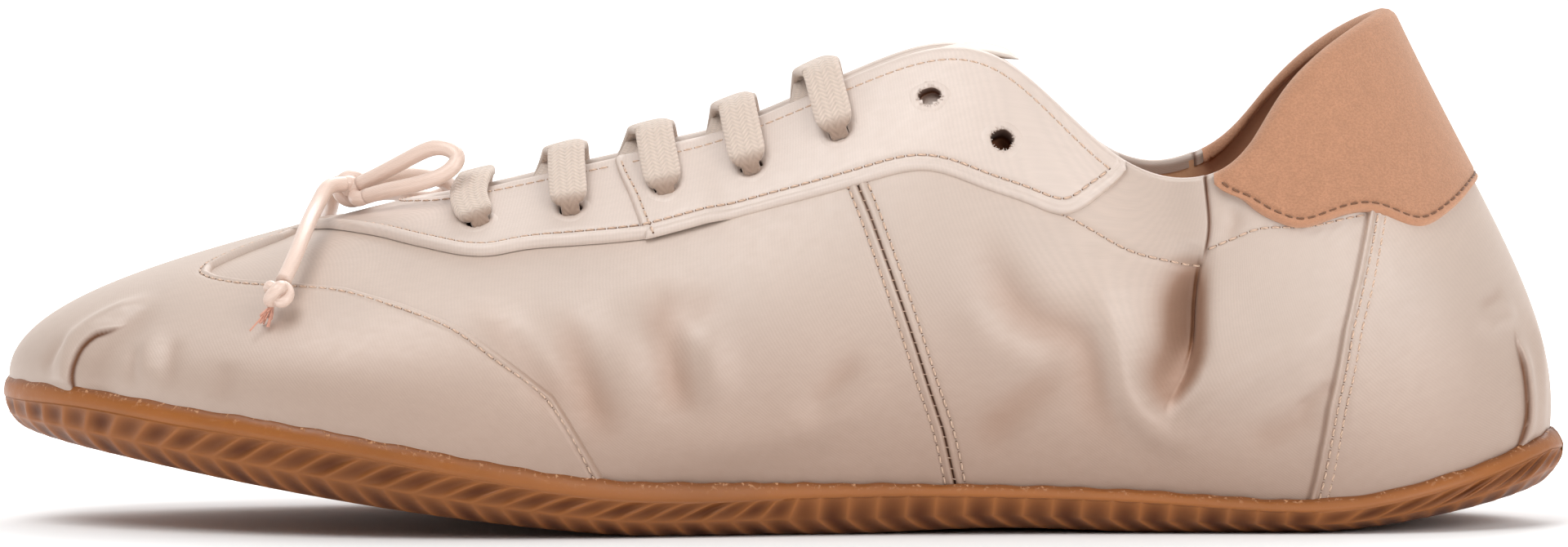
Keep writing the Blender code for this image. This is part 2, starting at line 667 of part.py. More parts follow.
def build_laces(finish):
    """A bar at the first eyelets, then a crossing up to each further pair."""
    stations = EYELETS[:LACED_ROWS, 0]
    reach = 0.5 + (1 - EYELETS[:LACED_ROWS, 1]) / (2 * BRIDGE_REACH)
    start, end = (stations[0], -reach[0], LACE_LIFT), (stations[0], reach[0], LACE_LIFT)
    strap("lace_bar_1", start, end, finish)
    for row in range(1, LACED_ROWS):
        name = f"lace_cross_{row + 1}"
        low = stations[row - 1] + LACE_STEP
        up_right = (low, -LACE_FROM, LACE_UNDER), (stations[row], reach[row], LACE_LIFT)
        up_left = (low, LACE_FROM, LACE_UNDER), (stations[row], -reach[row], LACE_LIFT)
        under = strap(name, *up_right, finish)
        join(under, strap(f"{name}_over", *up_left, finish, raised=LACE_OVER))


def build_bow(finish):
    ball("bow_knot", BOW_KNOT_AT, BOW_KNOT_HALF, finish)
    for side in ("lateral", "medial"):
        tube(f"bow_loop_{side}", BOW_LOOPS[side], finish)
        tube(f"bow_end_{side}", BOW_ENDS[side], finish)
        ball(f"bow_end_knot_{side}", END_KNOTS[side], END_KNOT_HALF, finish)


def main():
    for obj in list(bpy.data.objects):
        bpy.data.objects.remove(obj)
    satin = material("satin", SATIN, 0.45)
    stay_satin = material("stay satin", STAY_SATIN, 0.45)
    cutter = eyelet_cutter()
    build_outsole(material("gum rubber", GUM, 0.5))
    build_insole(material("insole leather", LEATHER, 0.6))
    build_upper(satin, cutter)
    build_tongue(material("tongue satin", STAY_SATIN, 0.5))
    build_toe(material("toe satin", SATIN, 0.45))
    build_eyestays(stay_satin, cutter)
    build_heel_tab(material("suede", SUEDE, 0.9))
    build_laces(material("cotton lace", COTTON, 0.9))
    build_bow(material("satin cord", CORD_SATIN, 0.4))


main()
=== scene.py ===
"""Ballet sneaker, left shoe: fine surfaces and finishes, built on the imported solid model.

The toe points along -X, the lateral side faces -Y and the sole stands on z = 0. Tables and
formulas are in millimetres; build() turns them into metres with MM.

Everything on the foot is read from one surface, skin(around, up). around runs 0 to 1 round
the feather line, where the upper meets the sole: toe tip 0, lateral side, heel 0.5, medial
side. up runs from 0 at the feather line to 1 at the edge of the throat and collar.
"""

import math
from collections import namedtuple

import bpy
import numpy as np
from bpy.props import FloatProperty, FloatVectorProperty, PointerProperty
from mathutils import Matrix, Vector


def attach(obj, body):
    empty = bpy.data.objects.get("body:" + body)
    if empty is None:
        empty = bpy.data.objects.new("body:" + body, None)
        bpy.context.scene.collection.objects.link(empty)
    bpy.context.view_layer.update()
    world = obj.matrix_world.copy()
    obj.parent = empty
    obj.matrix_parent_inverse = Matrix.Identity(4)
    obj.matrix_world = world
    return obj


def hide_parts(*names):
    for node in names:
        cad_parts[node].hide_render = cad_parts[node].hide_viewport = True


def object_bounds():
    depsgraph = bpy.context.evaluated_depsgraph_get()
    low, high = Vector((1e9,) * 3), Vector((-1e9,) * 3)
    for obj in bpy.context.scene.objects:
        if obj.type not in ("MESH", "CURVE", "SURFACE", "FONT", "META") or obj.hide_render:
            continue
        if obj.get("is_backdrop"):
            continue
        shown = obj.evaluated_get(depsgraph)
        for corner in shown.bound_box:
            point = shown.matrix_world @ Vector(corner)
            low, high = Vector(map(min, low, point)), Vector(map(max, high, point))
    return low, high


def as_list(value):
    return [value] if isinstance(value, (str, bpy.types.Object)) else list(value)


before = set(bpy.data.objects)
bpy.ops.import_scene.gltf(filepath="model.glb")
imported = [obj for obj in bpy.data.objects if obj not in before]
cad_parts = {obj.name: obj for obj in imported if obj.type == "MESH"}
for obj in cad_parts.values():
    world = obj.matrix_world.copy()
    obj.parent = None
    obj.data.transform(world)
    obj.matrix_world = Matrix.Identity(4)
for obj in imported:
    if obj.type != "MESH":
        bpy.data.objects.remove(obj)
CAD_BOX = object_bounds()

bl_info = {
    "name": "Ballet Sneaker Finish",
    "version": (1, 0, 0),
    "blender": (4, 5, 0),
    "location": "View3D > Sidebar > Sneaker",
    "description": "Fine surfaces and finishes of a satin ballet sneaker on its solid model",
    "category": "Object",
}

MM = 0.001
ROOT = "root"
UP_AXIS = np.array((0.0, 0.0, 1.0))
SMALL = 1e-4          # the step of around or up that slopes are measured over

# ---- ribs of the last, toe to heel, in millimetres and degrees
RIBS = np.array([
    # feather_x lateral medial  top_x  top_y  lateral_z medial_z  lean belly slope shoulder
    (-125.8,      4.0,    4.0,  -59.5,  0.0,     52.5,    52.5,    2,  0.17,  14,  0.50),
    (-119.5,    -13.5,   21.0,  -59.0,  3.0,     52.6,    52.6,    6,  0.18,  16,  0.48),
    (-104.0,    -26.4,   31.6,  -57.0,  6.0,     53.0,    53.0,    8,  0.22,  19,  0.45),
    (-84.0,     -36.2,   38.8,  -52.0,  7.6,     53.9,    53.9,    9,  0.29,  25,  0.45),
    (-62.0,     -41.2,   41.3,  -43.5,  8.6,     56.0,    56.0,    9,  0.36,  32,  0.42),
    (-38.0,     -40.2,   36.1,  -28.5,  9.8,     59.6,    59.6,    9,  0.40,  38,  0.40),
    (-12.0,     -35.6,   27.8,   -8.0, 11.2,     65.2,    65.2,   10,  0.42,  45,  0.38),
    (14.0,      -31.6,   24.8,   14.5, 12.8,     74.8,    74.8,   10,  0.40,  50,  0.36),
    (38.0,      -29.8,   25.6,   35.3, 15.5,     76.3,    75.9,   10,  0.38,  58,  0.34),
    (60.0,      -28.8,   27.0,   54.7, 23.0,     60.2,    59.8,   10,  0.36,  74,  0.32),
    (80.0,      -28.2,   27.6,   71.5, 26.0,     59.4,    61.4,    9,  0.36,  86,  0.32),
    (98.0,      -26.0,   25.6,   80.9, 22.8,     71.2,    71.2,    8,  0.35,  82,  0.34),
    (113.0,     -19.5,   19.3,   89.4, 15.8,     79.2,    79.2,    8,  0.32,  73,  0.40),
    (124.5,       0.0,    0.0,   97.6,  0.0,     84.0,    84.0,    6,  0.26,  65,  0.48),
])
INWARD_PULL = 6.0     # turns a rib's top in towards the throat even where the rib is upright
FEATHER = np.array([
    # x       z
    (-125.8, 23.6), (-115.0, 23.3), (-100.0, 21.3), (-85.0, 19.3), (-62.0, 15.4),
    (-43.0, 11.8), (-29.0, 9.6), (-10.0, 8.8), (15.0, 8.4), (43.0, 7.8), (65.0, 6.6),
    (80.0, 5.6), (90.0, 5.9), (104.0, 8.5), (114.0, 11.4), (124.7, 15.4),
])

# ---- outlines on the lateral side; the medial side takes them from the other end
TOE_EDGE = np.array([
    # around  up
    (0.0000, 0.800), (0.0159, 0.800), (0.0245, 0.768), (0.0282, 0.728), (0.0317, 0.682),
    (0.0353, 0.634), (0.0389, 0.596), (0.0450, 0.566), (0.0550, 0.546), (0.0674, 0.538),
    (0.0893, 0.541), (0.1127, 0.530), (0.1367, 0.466), (0.1576, 0.388), (0.1739, 0.290),
    (0.1892, 0.196), (0.2050, 0.000),
])
FRONT_STAY = np.array([
    # foot around, foot up, top around
    (0.000, 0.808, 0.000), (0.020, 0.822, 0.020), (0.037, 0.828, 0.037),
    (0.055, 0.817, 0.054), (0.085, 0.794, 0.082), (0.105, 0.768, 0.100),
    (0.128, 0.719, 0.120), (0.144, 0.679, 0.135), (0.157, 0.665, 0.147),
    (0.168, 0.680, 0.157), (0.185, 0.682, 0.171), (0.212, 0.680, 0.194),
])
REAR_STAY = np.array([
    # foot around, foot up, top around
    (0.210, 0.672, 0.192), (0.231, 0.693, 0.215), (0.252, 0.696, 0.240),
    (0.277, 0.693, 0.268), (0.297, 0.691, 0.292), (0.314, 0.650, 0.313),
    (0.328, 0.645, 0.329), (0.340, 0.673, 0.342), (0.350, 0.768, 0.352),
    (0.3578, 0.877, 0.3595), (0.3640, 0.985, 0.3642),
])
HEEL_TAB = np.array([
    # around  up
    (0.3930, 0.995), (0.3961, 0.960), (0.4027, 0.885), (0.4078, 0.817), (0.4149, 0.748),
    (0.4215, 0.699), (0.4358, 0.665), (0.4485, 0.642), (0.4546, 0.607), (0.4603, 0.585),
    (0.4694, 0.596), (0.4806, 0.625), (0.4893, 0.645), (0.5000, 0.655),
])
EYELETS = np.array([
    # around  up
    (0.142, 0.817), (0.180, 0.817), (0.214, 0.831), (0.243, 0.837),
    (0.271, 0.851), (0.300, 0.877), (0.322, 0.777),
])
LACED_ROWS = 5

# ---- lines up the quarter, as shares round and up the skin
WAIST_SEAM = np.array([
    (0.3060, 0.000), (0.3026, 0.103), (0.2978, 0.206), (0.2917, 0.348), (0.2857, 0.489),
    (0.2805, 0.614), (0.2760, 0.715), (0.2680, 1.000),
])
COUNTER_SEAM = np.array([
    (0.4068, 0.000), (0.4107, 0.133), (0.4146, 0.236), (0.4194, 0.321), (0.4250, 0.411),
    (0.4315, 0.486), (0.4406, 0.584), (0.4470, 0.650), (0.4700, 1.000),
])
TOE_PLEAT = np.array([
    (0.0460, 0.000), (0.0452, 0.075), (0.0450, 0.115), (0.0447, 0.170), (0.0455, 0.215),
    (0.0466, 0.235), (0.0490, 0.262), (0.0512, 0.300), (0.0540, 0.360), (0.0540, 1.000),
])
COLLAR_FOLD = np.array([
    (0.3600, 0.000), (0.3640, 0.206), (0.3662, 0.248), (0.3735, 0.363), (0.3778, 0.464),
    (0.3803, 0.586), (0.3832, 0.699), (0.3865, 0.775), (0.3886, 0.847), (0.3891, 0.935),
    (0.3891, 1.000),
])
HEEL_PLEAT = np.array([
    (0.4726, 0.000), (0.4756, 0.058), (0.4765, 0.123), (0.4769, 0.190), (0.4770, 0.261),
    (0.4782, 0.311), (0.4800, 0.450), (0.4870, 1.000),
])
COLLAR_STITCHES = (
    ((0.3340, 0.660), (0.3475, 0.687), (0.3605, 0.699), (0.3722, 0.717), (0.3845, 0.716)),
    ((0.3874, 0.764), (0.3938, 0.777), (0.4038, 0.774), (0.4137, 0.739), (0.4254, 0.684),
     (0.4367, 0.657), (0.4458, 0.645)),
)

# ---- folds of the satin on the lateral side: height, reach towards the toe, reach towards
# the heel, then the line. A fold with a reach below SHARP to one side is a sharp pleat.
Fold = namedtuple("Fold", "height to_toe to_heel line")
SHARP = 0.5
FOLDS = tuple(Fold(*row) for row in (
    # toe: the pleat's sharp foot, the roll over it, then soft gathers
    (0.90, 1.4, 0.25, TOE_PLEAT[:8]),
    (1.25, 2.6, 1.7, ((0.0434, 0.000), (0.0421, 0.078), (0.0412, 0.128), (0.0404, 0.183),
                      (0.0408, 0.241), (0.0425, 0.303), (0.0460, 0.366), (0.0499, 0.426))),
    (-0.50, 1.8, 1.8, ((0.0343, 0.030), (0.0347, 0.103), (0.0356, 0.153), (0.0369, 0.213))),
    (-0.50, 3.4, 3.4, ((0.0545, 0.000), (0.0530, 0.133), (0.0530, 0.231), (0.0545, 0.321),
                       (0.0577, 0.393))),
    (0.45, 1.9, 2.7, ((0.0737, 0.030), (0.0698, 0.105), (0.0672, 0.165), (0.0655, 0.243),
                      (0.0655, 0.308))),
    (-0.35, 1.3, 1.3, ((0.0676, 0.040), (0.0646, 0.135), (0.0629, 0.220))),
    (-0.35, 1.8, 1.8, ((0.0800, 0.050), (0.0754, 0.173), (0.0720, 0.280))),
    (-0.25, 2.2, 2.2, ((0.0950, 0.030), (0.0945, 0.120), (0.0930, 0.200))),
    # vamp: three valleys where the foot bends, with rolls between them
    (-0.60, 3.0, 3.0, ((0.1559, 0.491), (0.1710, 0.373), (0.1827, 0.268), (0.1940, 0.100))),
    (-0.95, 3.6, 3.2, ((0.1844, 0.500), (0.1914, 0.371), (0.1979, 0.253), (0.2026, 0.160),
                       (0.2080, 0.060))),
    (-1.05, 3.6, 3.2, ((0.2104, 0.560), (0.2178, 0.426), (0.2225, 0.331), (0.2255, 0.233),
                       (0.2300, 0.110))),
    (-0.50, 3.4, 3.4, ((0.2110, 0.470), (0.2255, 0.461), (0.2400, 0.400))),
    (0.35, 3.4, 3.4, ((0.1740, 0.520), (0.1820, 0.360), (0.1900, 0.200))),
    (0.40, 3.6, 3.6, ((0.1970, 0.540), (0.2046, 0.400), (0.2102, 0.290), (0.2150, 0.170))),
    (0.70, 3.0, 3.0, ((0.2300, 0.420), (0.2345, 0.290), (0.2390, 0.140))),
    (-0.60, 2.5, 2.5, ((0.2600, 0.110), (0.2692, 0.195), (0.2800, 0.300))),
    (0.90, 4.0, 4.0, ((0.2060, 0.060), (0.2234, 0.078), (0.2403, 0.088), (0.2567, 0.108),
                      (0.2727, 0.150), (0.2900, 0.215))),
    # rear quarter: a long valley that swings down to the sole, and the rolls beside it
    (-1.15, 4.2, 3.4, ((0.3100, 0.590), (0.3190, 0.456), (0.3242, 0.404), (0.3307, 0.378),
                       (0.3402, 0.381), (0.3458, 0.351), (0.3467, 0.271), (0.3480, 0.211),
                       (0.3527, 0.165), (0.3605, 0.118))),
    (0.60, 3.2, 3.2, ((0.3060, 0.390), (0.3160, 0.300), (0.3238, 0.280), (0.3350, 0.300))),
    (-0.65, 3.0, 3.0, ((0.3420, 0.315), (0.3276, 0.198), (0.3181, 0.125), (0.3080, 0.060))),
    (1.00, 2.6, 2.6, ((0.3480, 0.600), (0.3510, 0.480), (0.3536, 0.336), (0.3562, 0.246),
                      (0.3623, 0.183), (0.3700, 0.150), (0.3830, 0.140))),
    # collar: the lobe that hangs over the deep fold behind the ankle, the fold, sharp above and
    # soft below, and the light roll
    (1.20, 4.5, 0.25, COLLAR_FOLD[6:]),
    (-1.50, 3.0, 0.30, COLLAR_FOLD[3:8]),
    (-3.90, 5.6, 1.7, ((0.3875, 0.800), (0.3832, 0.699), (0.3800, 0.586), (0.3778, 0.464),
                       (0.3735, 0.363), (0.3662, 0.248), (0.3625, 0.185))),
    (1.10, 3.0, 3.0, ((0.4330, 0.475), (0.4146, 0.419), (0.4003, 0.388), (0.3886, 0.343),
                      (0.3778, 0.256), (0.3700, 0.170), (0.3620, 0.140))),
    (-0.50, 1.1, 1.1, ((0.4215, 0.303), (0.4120, 0.273), (0.4035, 0.238))),
    (-0.50, 2.4, 2.4, ((0.4170, 0.236), (0.4055, 0.216), (0.3960, 0.185), (0.3870, 0.145))),
    (-0.45, 1.1, 1.1, ((0.3950, 0.900), (0.3990, 0.827), (0.3910, 0.780))),
    # heel: a short crease, its light roll, and the pleat by the back seam
    (-0.50, 1.2, 1.2, ((0.4657, 0.368), (0.4700, 0.378), (0.4756, 0.393), (0.4804, 0.406))),
    (0.70, 1.7, 1.7, ((0.4626, 0.308), (0.4683, 0.326), (0.4756, 0.338), (0.4830, 0.348))),
    (1.20, 0.25, 2.4, HEEL_PLEAT[:6]),
    (0.70, 2.2, 3.0, ((0.4821, 0.000), (0.4838, 0.108), (0.4864, 0.193), (0.4890, 0.281),
                      (0.4903, 0.370))),
))
MEDIAL_FOLDS = 0.75   # the folds of the medial side are shallower
FOLD_FADE = 0.35      # share of a fold over which it fades out at a free end
DIP_FULL = 2.5        # depth of a fold whose bottom is fully in shade
LOW_SHADE = np.array([
    # around, how far the foot of the side is in shade
    (0.00, 0.10), (0.06, 0.15), (0.12, 0.45), (0.20, 0.62), (0.30, 0.70), (0.38, 0.68),
    (0.44, 0.50), (0.50, 0.30),
])

# ---- side of the sole
RIB_ARMS = np.array([
    # x, reach of a rib's upper arm, reach of its lower arm
    (-126.0, 0.3, 0.3), (-112.0, 1.5, 1.0), (-95.0, 6.0, 3.2), (-60.0, 7.0, 4.2),
    (-16.0, 6.6, 4.2), (4.0, 0.2, 5.5), (84.0, 0.2, 5.5), (100.0, 8.0, 2.0),
    (112.0, 9.0, 1.5), (127.0, 2.0, 0.5),
])
ARM_MEET = 0.42       # where the two arms of a rib meet, as a share of the way down the side
SOLE_BAND = np.array([
    # x, height of the smooth band under the lip
    (-120.0, 3.2), (-20.0, 3.1), (20.0, 1.9), (80.0, 1.9), (100.0, 2.3), (120.0, 3.0),
])
SOLE_LIP = 1.35       # how far the lip stands out from the feather line
LIP_ROWS = (
    # out from the feather line, drop below it
    (0.45, 0.1), (0.75, -0.08), (1.05, -0.02), (1.3, 0.22),
)
BAND_ROWS = (
    # share of the band's height, how much glue shows
    (0.22, 0.45), (0.45, 0.1), (0.7, 0.0), (0.9, 0.0),
)
BOTTOM_ROWS = (0.06, 0.2, 0.4, 0.6, 0.8, 1.0)

# ---- satin bow: routes, lateral side then medial side
BOW_KNOT_AT = (-70.4, 0.0, 54.4)
BOW_ENDS = {
    "lateral": [
        (-71.5, -4.1, 55.3), (-74.0, -6.2, 54.9), (-75.3, -9.2, 53.0), (-76.3, -13.4, 50.9),
        (-77.3, -19.8, 48.3), (-78.6, -26.6, 44.6), (-80.2, -32.0, 40.9),
    ],
    "medial": [
        (-71.6, 4.1, 55.3), (-73.6, 6.8, 54.6), (-74.2, 10.6, 52.6), (-74.6, 15.0, 50.8),
        (-75.6, 21.4, 48.4), (-77.2, 28.0, 45.0), (-79.1, 34.0, 40.8),
    ],
}
BOW_LOOPS = {
    "lateral": [
        (-69.2, -3.9, 55.2), (-64.6, -6.2, 57.6), (-60.0, -8.4, 60.1), (-56.0, -10.2, 61.5),
        (-53.0, -11.8, 60.2), (-54.6, -13.0, 57.6), (-59.0, -12.2, 55.8), (-64.0, -9.8, 54.6),
        (-68.0, -6.9, 53.4),
    ],
    "medial": [
        (-69.2, 3.9, 55.2), (-64.8, 7.0, 56.2), (-60.4, 10.4, 56.2), (-56.6, 14.6, 55.2),
        (-55.2, 19.4, 53.5), (-58.0, 21.4, 51.9), (-62.4, 18.4, 52.5), (-65.0, 12.4, 53.2),
        (-67.0, 7.6, 53.2),
    ],
}
END_KNOTS = {"lateral": (-81.0, -34.2, 39.0), "medial": (-80.0, 36.2, 39.0)}

# ---- build-up of the upper, in millimetres
WALL = 1.8            # satin, interlining and lining together
EDGE_ROUND = WALL / 2  # radius of the turned edge of throat and collar
OVERLAY = 0.8         # how proud an overlay lies
OVERLAP = 0.75        # what the rear stay adds where it lies over the front one
TAB_LIFT = 1.5        # how proud the heel tab lies over the counter
COUNTER_STEP = 0.6    # how proud the counter lies
SKIRT = 60.0          # drop for one unit of up below the feather line
CUP_SHARE = 0.5       # depth of the seat in the sole, as a share of the sole's height
INSOLE_INSET = 1.75   # from the feather line in to the sock's edge
INSOLE_THICK = 3.0
GAP = 0.4             # between the seat and the sock
BRIDGE_REACH = 0.2    # how much of up the bridge over the throat runs down each side
TONGUE_ENDS = (0.010, 0.330)
TONGUE_FREE = 0.28    # from here on the tongue stands free of the stays
TONGUE_DEPTH = 3.4    # its middle below the skin
TONGUE_TIP = 0.014    # length of its rounded end
LACE_BEND = 1.25      # radius of the lace's turn down into an eyelet
LACE_NARROW = 1.5     # half the width of the lace in an eyelet
CROSS_START = (0.016, 0.36, -1.2)  # a crossing starts so far behind the row before, out and low
CORD_HUG = 0.97       # the cord inside the bow's knot, as a share of the free cord

# ---- studio: brightness of the room, soft boxes, camera and floor, in metres and degrees
ROOM_FRONT, ROOM_BACK = 0.10, 1.0
ROOM_FADE = (-0.5, 0.3)      # Y of the way, between which the room goes from front to back
LAMPS = (
    # name, size, watts, from, towards
    ("key", 0.8, 9.5, (-0.38, -0.62, 1.08), (0.02, 0.0, 0.03)),
    ("heel side", 0.8, 8.0, (0.75, -0.95, 0.60), (0.04, 0.0, 0.04)),
    ("rim", 0.8, 8.0, (0.2, 0.9, 0.9), (0.0, 0.0, 0.03)),
)
LENS = 239.06
SENSOR = 36.0
EYE_TILT = 3.0
EYE_DISTANCE = 1.7
EYE_TARGET = Vector((0.0, 0.0, 0.0405))
FLOOR_HALF = 6.0
FLOOR_GLOW = 0.6             # how bright the paper shines by itself away from the shoe
GLOW_SPAN = (0.06, 0.22)     # distances between which that glow sets in


# -------- settings in the sidebar
def length(name, text, value):
    """A length for the sidebar, from a default in millimetres."""
    return FloatProperty(name=name, description=text, default=value * MM, unit="LENGTH",
                         precision=5)


def colour(name, text, value):
    """A colour for the sidebar."""
    return FloatVectorProperty(name=name, description=text, default=value, size=3,
                               subtype="COLOR", min=0.0, max=1.0)


class SneakerSizes(bpy.types.PropertyGroup):
    """Sizes of the finish that a user may change."""

    stitch_length: length("Stitch", "Length of one stitch with its gap", 1.75)
    thread: length("Thread", "Thickness of the sewing thread", 0.36)
    eyelet: length("Eyelet", "Radius of a punched eyelet", 1.9)
    lace_width: length("Lace width", "Width of the flat cotton lace", 6.2)
    lace_thick: length("Lace thickness", "Thickness of the flat cotton lace", 1.7)
    cord: length("Bow cord", "Radius of the satin cord of the bow", 1.28)
    rib_depth: length("Rib depth", "Depth of the ribs in the side of the sole", 0.75)
    rib_pitch: length("Rib pitch", "Distance from rib to rib along the sole", 4.8)
    folds: FloatProperty(name="Folds", description="Strength of the folds in the satin",
                         default=1.0, min=0.0, max=2.0, subtype="FACTOR")
    mesh_step: length("Mesh step", "Distance between the columns of the satin's mesh", 0.65)


class SneakerColours(bpy.types.PropertyGroup):
    """Colours of the finish that a user may change."""

    satin: colour("Satin", "Powder satin of vamp and quarters", (0.465, 0.340, 0.266))
    stay: colour("Stay satin", "Paler satin of the eyestays", (0.545, 0.425, 0.355))
    gum: colour("Gum rubber", "Crests of the sole", (0.31, 0.098, 0.014))
    gum_dark: colour("Gum rubber, dark", "Hollows of the sole", (0.10, 0.024, 0.003))
    suede: colour("Suede", "Heel tab", (0.455, 0.226, 0.132))
    leather: colour("Lining leather", "Inside of the heel", (0.68, 0.40, 0.23))
    cotton: colour("Cotton", "Flat lace", (0.64, 0.52, 0.44))
    cord: colour("Satin cord", "Bow", (0.72, 0.54, 0.45))
    thread: colour("Thread", "Tan sewing thread", (0.60, 0.42, 0.31))
    tongue: colour("Tongue satin", "Tongue", (0.62, 0.51, 0.43))


def sizes():
    """The settings of the sizes."""
    return bpy.context.scene.sneaker_sizes


def colours():
    """The settings of the colours."""
    return bpy.context.scene.sneaker_colours


def eyelet_radius(more=0.0):
    """The radius of an eyelet in millimetres, and more."""
    return sizes().eyelet / MM + more


# -------- the last
def spline(keys, values, at):
    """Natural cubic through values at keys, read at the points of at."""
    steps = np.diff(keys)
    count = len(keys)
    matrix = np.eye(count)
    right = np.zeros((count, values.shape[1]))
    for i in range(1, count - 1):
        matrix[i, i - 1:i + 2] = steps[i - 1], 2 * (steps[i - 1] + steps[i]), steps[i]
        rise = (values[i + 1] - values[i]) / steps[i]
        before = (values[i] - values[i - 1]) / steps[i - 1]
        right[i] = 6 * (rise - before)
    bend = np.linalg.solve(matrix, right)
    left = np.clip(np.searchsorted(keys, at) - 1, 0, count - 2)
    step = steps[left][..., None]
    ahead = (keys[left + 1] - at)[..., None]
    behind = (at - keys[left])[..., None]
    curve = (bend[left] * ahead**3 + bend[left + 1] * behind**3) / (6 * step)
    line = (values[left] / step - bend[left] * step / 6) * ahead
    line += (values[left + 1] / step - bend[left + 1] * step / 6) * behind
    return curve + line


def resampled(table, count):
    """A table's rows, read at count even steps along it through a spline."""
    table = np.asarray(table, float)
    return spline(np.linspace(0, 1, len(table)), table, np.linspace(0, 1, count))


def run_length(path):
    """Distance along a path at each of its points."""
    return np.concatenate([[0], np.cumsum(np.linalg.norm(np.diff(path, axis=0), axis=1))])


def rib_ring():
    """Keys and rows of the ribs round the whole shoe, with a few repeated at both ends."""
    lateral = np.delete(RIBS, [2, 6], axis=1)
    medial = np.delete(RIBS, [1, 5], axis=1)
    lateral[:, 3] *= -1
    along = (run_length(lateral[:, :2]) + run_length(medial[:, :2])) / 2
    half = along[-1]
    keys = np.concatenate([along, 2 * half - along[-2:0:-1]])
    rows = np.vstack([lateral, medial[-2:0:-1]])
    more = 4
    keys = np.concatenate([keys[-more:] - 2 * half, keys, keys[:more + 1] + 2 * half])
    rows = np.vstack([rows[-more:], rows, rows[:more + 1]])
    return keys / (2 * half), rows


RING_KEYS, RING_ROWS = rib_ring()


def full_turn(count):
    """Count even angles round a circle."""
    return np.linspace(0, 2 * math.pi, count, endpoint=False)


def signed_power(value, power):
    """|value|^power with value's own sign, for a super-ellipse."""
    return np.sign(value) * np.abs(value) ** power


def unit(ways):
    """Vectors brought to length 1."""
    return ways / np.linalg.norm(ways, axis=-1, keepdims=True)


def bezier(t, first, second, third, last):
    """The cubic s^3 first + 3 s^2 t second + 3 s t^2 third + t^3 last, with s = 1 - t."""
    s = 1 - t
    return s**3 * first + 3 * s * s * t * second + 3 * s * t * t * third + t**3 * last


def smooth(value, low, high):
    """0 below low, 1 above high, and 3t^2 - 2t^3 between them."""
    t = np.clip((value - low) / (high - low), 0, 1)
    return t * t * (3 - 2 * t)


def bell(distance, centre, reach):
    """exp(-((distance - centre) / reach)^2)."""
    return np.exp(-(((distance - centre) / reach) ** 2))


def feather_height(x):
    """Height of the feather line."""
    x = np.clip(x, FEATHER[0, 0], FEATHER[-1, 0])
    return spline(FEATHER[:, 0], FEATHER[:, 1:], x)[..., 0]


def ribs_at(around):
    """The columns of RIBS between the ribs: feather x and y, top x, y and z, then the rest."""
    return spline(RING_KEYS, RING_ROWS, np.mod(around, 1.0))


def outward(around):
    """Unit normals of the feather line in plan, pointing away from the foot."""
    along = unit((ribs_at(around + SMALL) - ribs_at(around - SMALL))[..., :2])
    return np.stack([along[..., 1], -along[..., 0], np.zeros_like(along[..., 0])], axis=-1)


def surface(around, up):
    """Outer face of the upper: one cubic Bezier rib for each value of around."""
    around, up = np.broadcast_arrays(np.asarray(around, float), np.asarray(up, float))
    rows = ribs_at(around)
    lean, belly, slope, shoulder = (rows[..., i, None] for i in range(5, 9))
    foot = np.stack([rows[..., 0], rows[..., 1], feather_height(rows[..., 0])], axis=-1)
    top = rows[..., 2:5]
    out = outward(around)
    chord = np.linalg.norm(top - foot, axis=-1, keepdims=True)
    inward = unit((top - foot) * (1, 1, 0) - INWARD_PULL * out)
    lean, slope = np.radians(lean), np.radians(slope)
    low = foot + belly * chord * (np.cos(lean) * UP_AXIS + np.sin(lean) * out)
    high = top - shoulder * chord * (np.cos(slope) * inward + np.sin(slope) * UP_AXIS)
    return bezier(up[..., None], foot, low, high, top)


def skin_frame(around, up):
    """Point, outward unit normal and upward unit way of the outer face."""
    across = surface(around + SMALL, up) - surface(around - SMALL, up)
    rise = unit(surface(around, up + SMALL) - surface(around, up - SMALL))
    normal = unit(np.cross(across, rise))
    return surface(around, up), normal, rise


def throat_bridge(around, across, lift):
    """A surface from one side of the throat to the other, raised by lift, and its normals.

    across runs -1 to 1. From -1 to -0.5 it climbs the lateral skin to the throat's edge,
    from -0.5 to 0.5 it crosses the open throat in a low arch, then it runs down the medial skin.
    """
    flatten = np.array((1.0, 1.0, 0.1))
    edge = 0.02

    def side_of(side):
        """The throat's edge on one side, and the flattened way the skin arrives there."""
        rim = surface(side, 1.0)
        return rim, unit(rim - surface(side, 1.0 - edge)) * flatten

    def point(around, across):
        side = np.where(across < 0, around, 1 - around)
        on_skin = surface(side, 1 - 2 * BRIDGE_REACH * np.clip(np.abs(across) - 0.5, 0, 1))
        left, left_way = side_of(around)
        right, right_way = side_of(1 - around)
        pull = np.linalg.norm(right - left, axis=-1, keepdims=True) / 3
        arch = bezier(np.clip(across + 0.5, 0, 1)[..., None], left, left + pull * left_way,
                      right + pull * right_way, right)
        inside = (np.abs(across) < 0.5)[..., None]
        return np.where(inside, arch, on_skin)

    around, across = np.broadcast_arrays(np.asarray(around, float), np.asarray(across, float))
    step = 10 * SMALL
    along_throat = point(around + step, across) - point(around - step, across)
    over_throat = point(around, across + step) - point(around, across - step)
    normal = unit(np.cross(along_throat, over_throat))
    return point(around, across) + normal * np.asarray(lift)[..., None], normal


def foot_ring(around, offset):
    """The feather line in plan, moved out by offset, as x and y."""
    return ribs_at(around)[..., :2] + outward(around)[..., :2] * np.asarray(offset)[..., None]


def sole_underside(x):
    """Height of the sole's bottom: toe spring, forefoot flat, arch, heel flat, heel curl."""
    toe = 14.4 * (np.clip(-22.0 - x, 0, None) / 98.0) ** 1.3
    heel = 5.3 * (np.clip(x - 86.0, 0, None) / 33.7) ** 1.5
    arch = 0.8 * np.sin(math.pi * np.clip((x - 8.0) / 54.0, 0, 1)) ** 2
    return toe + heel + arch


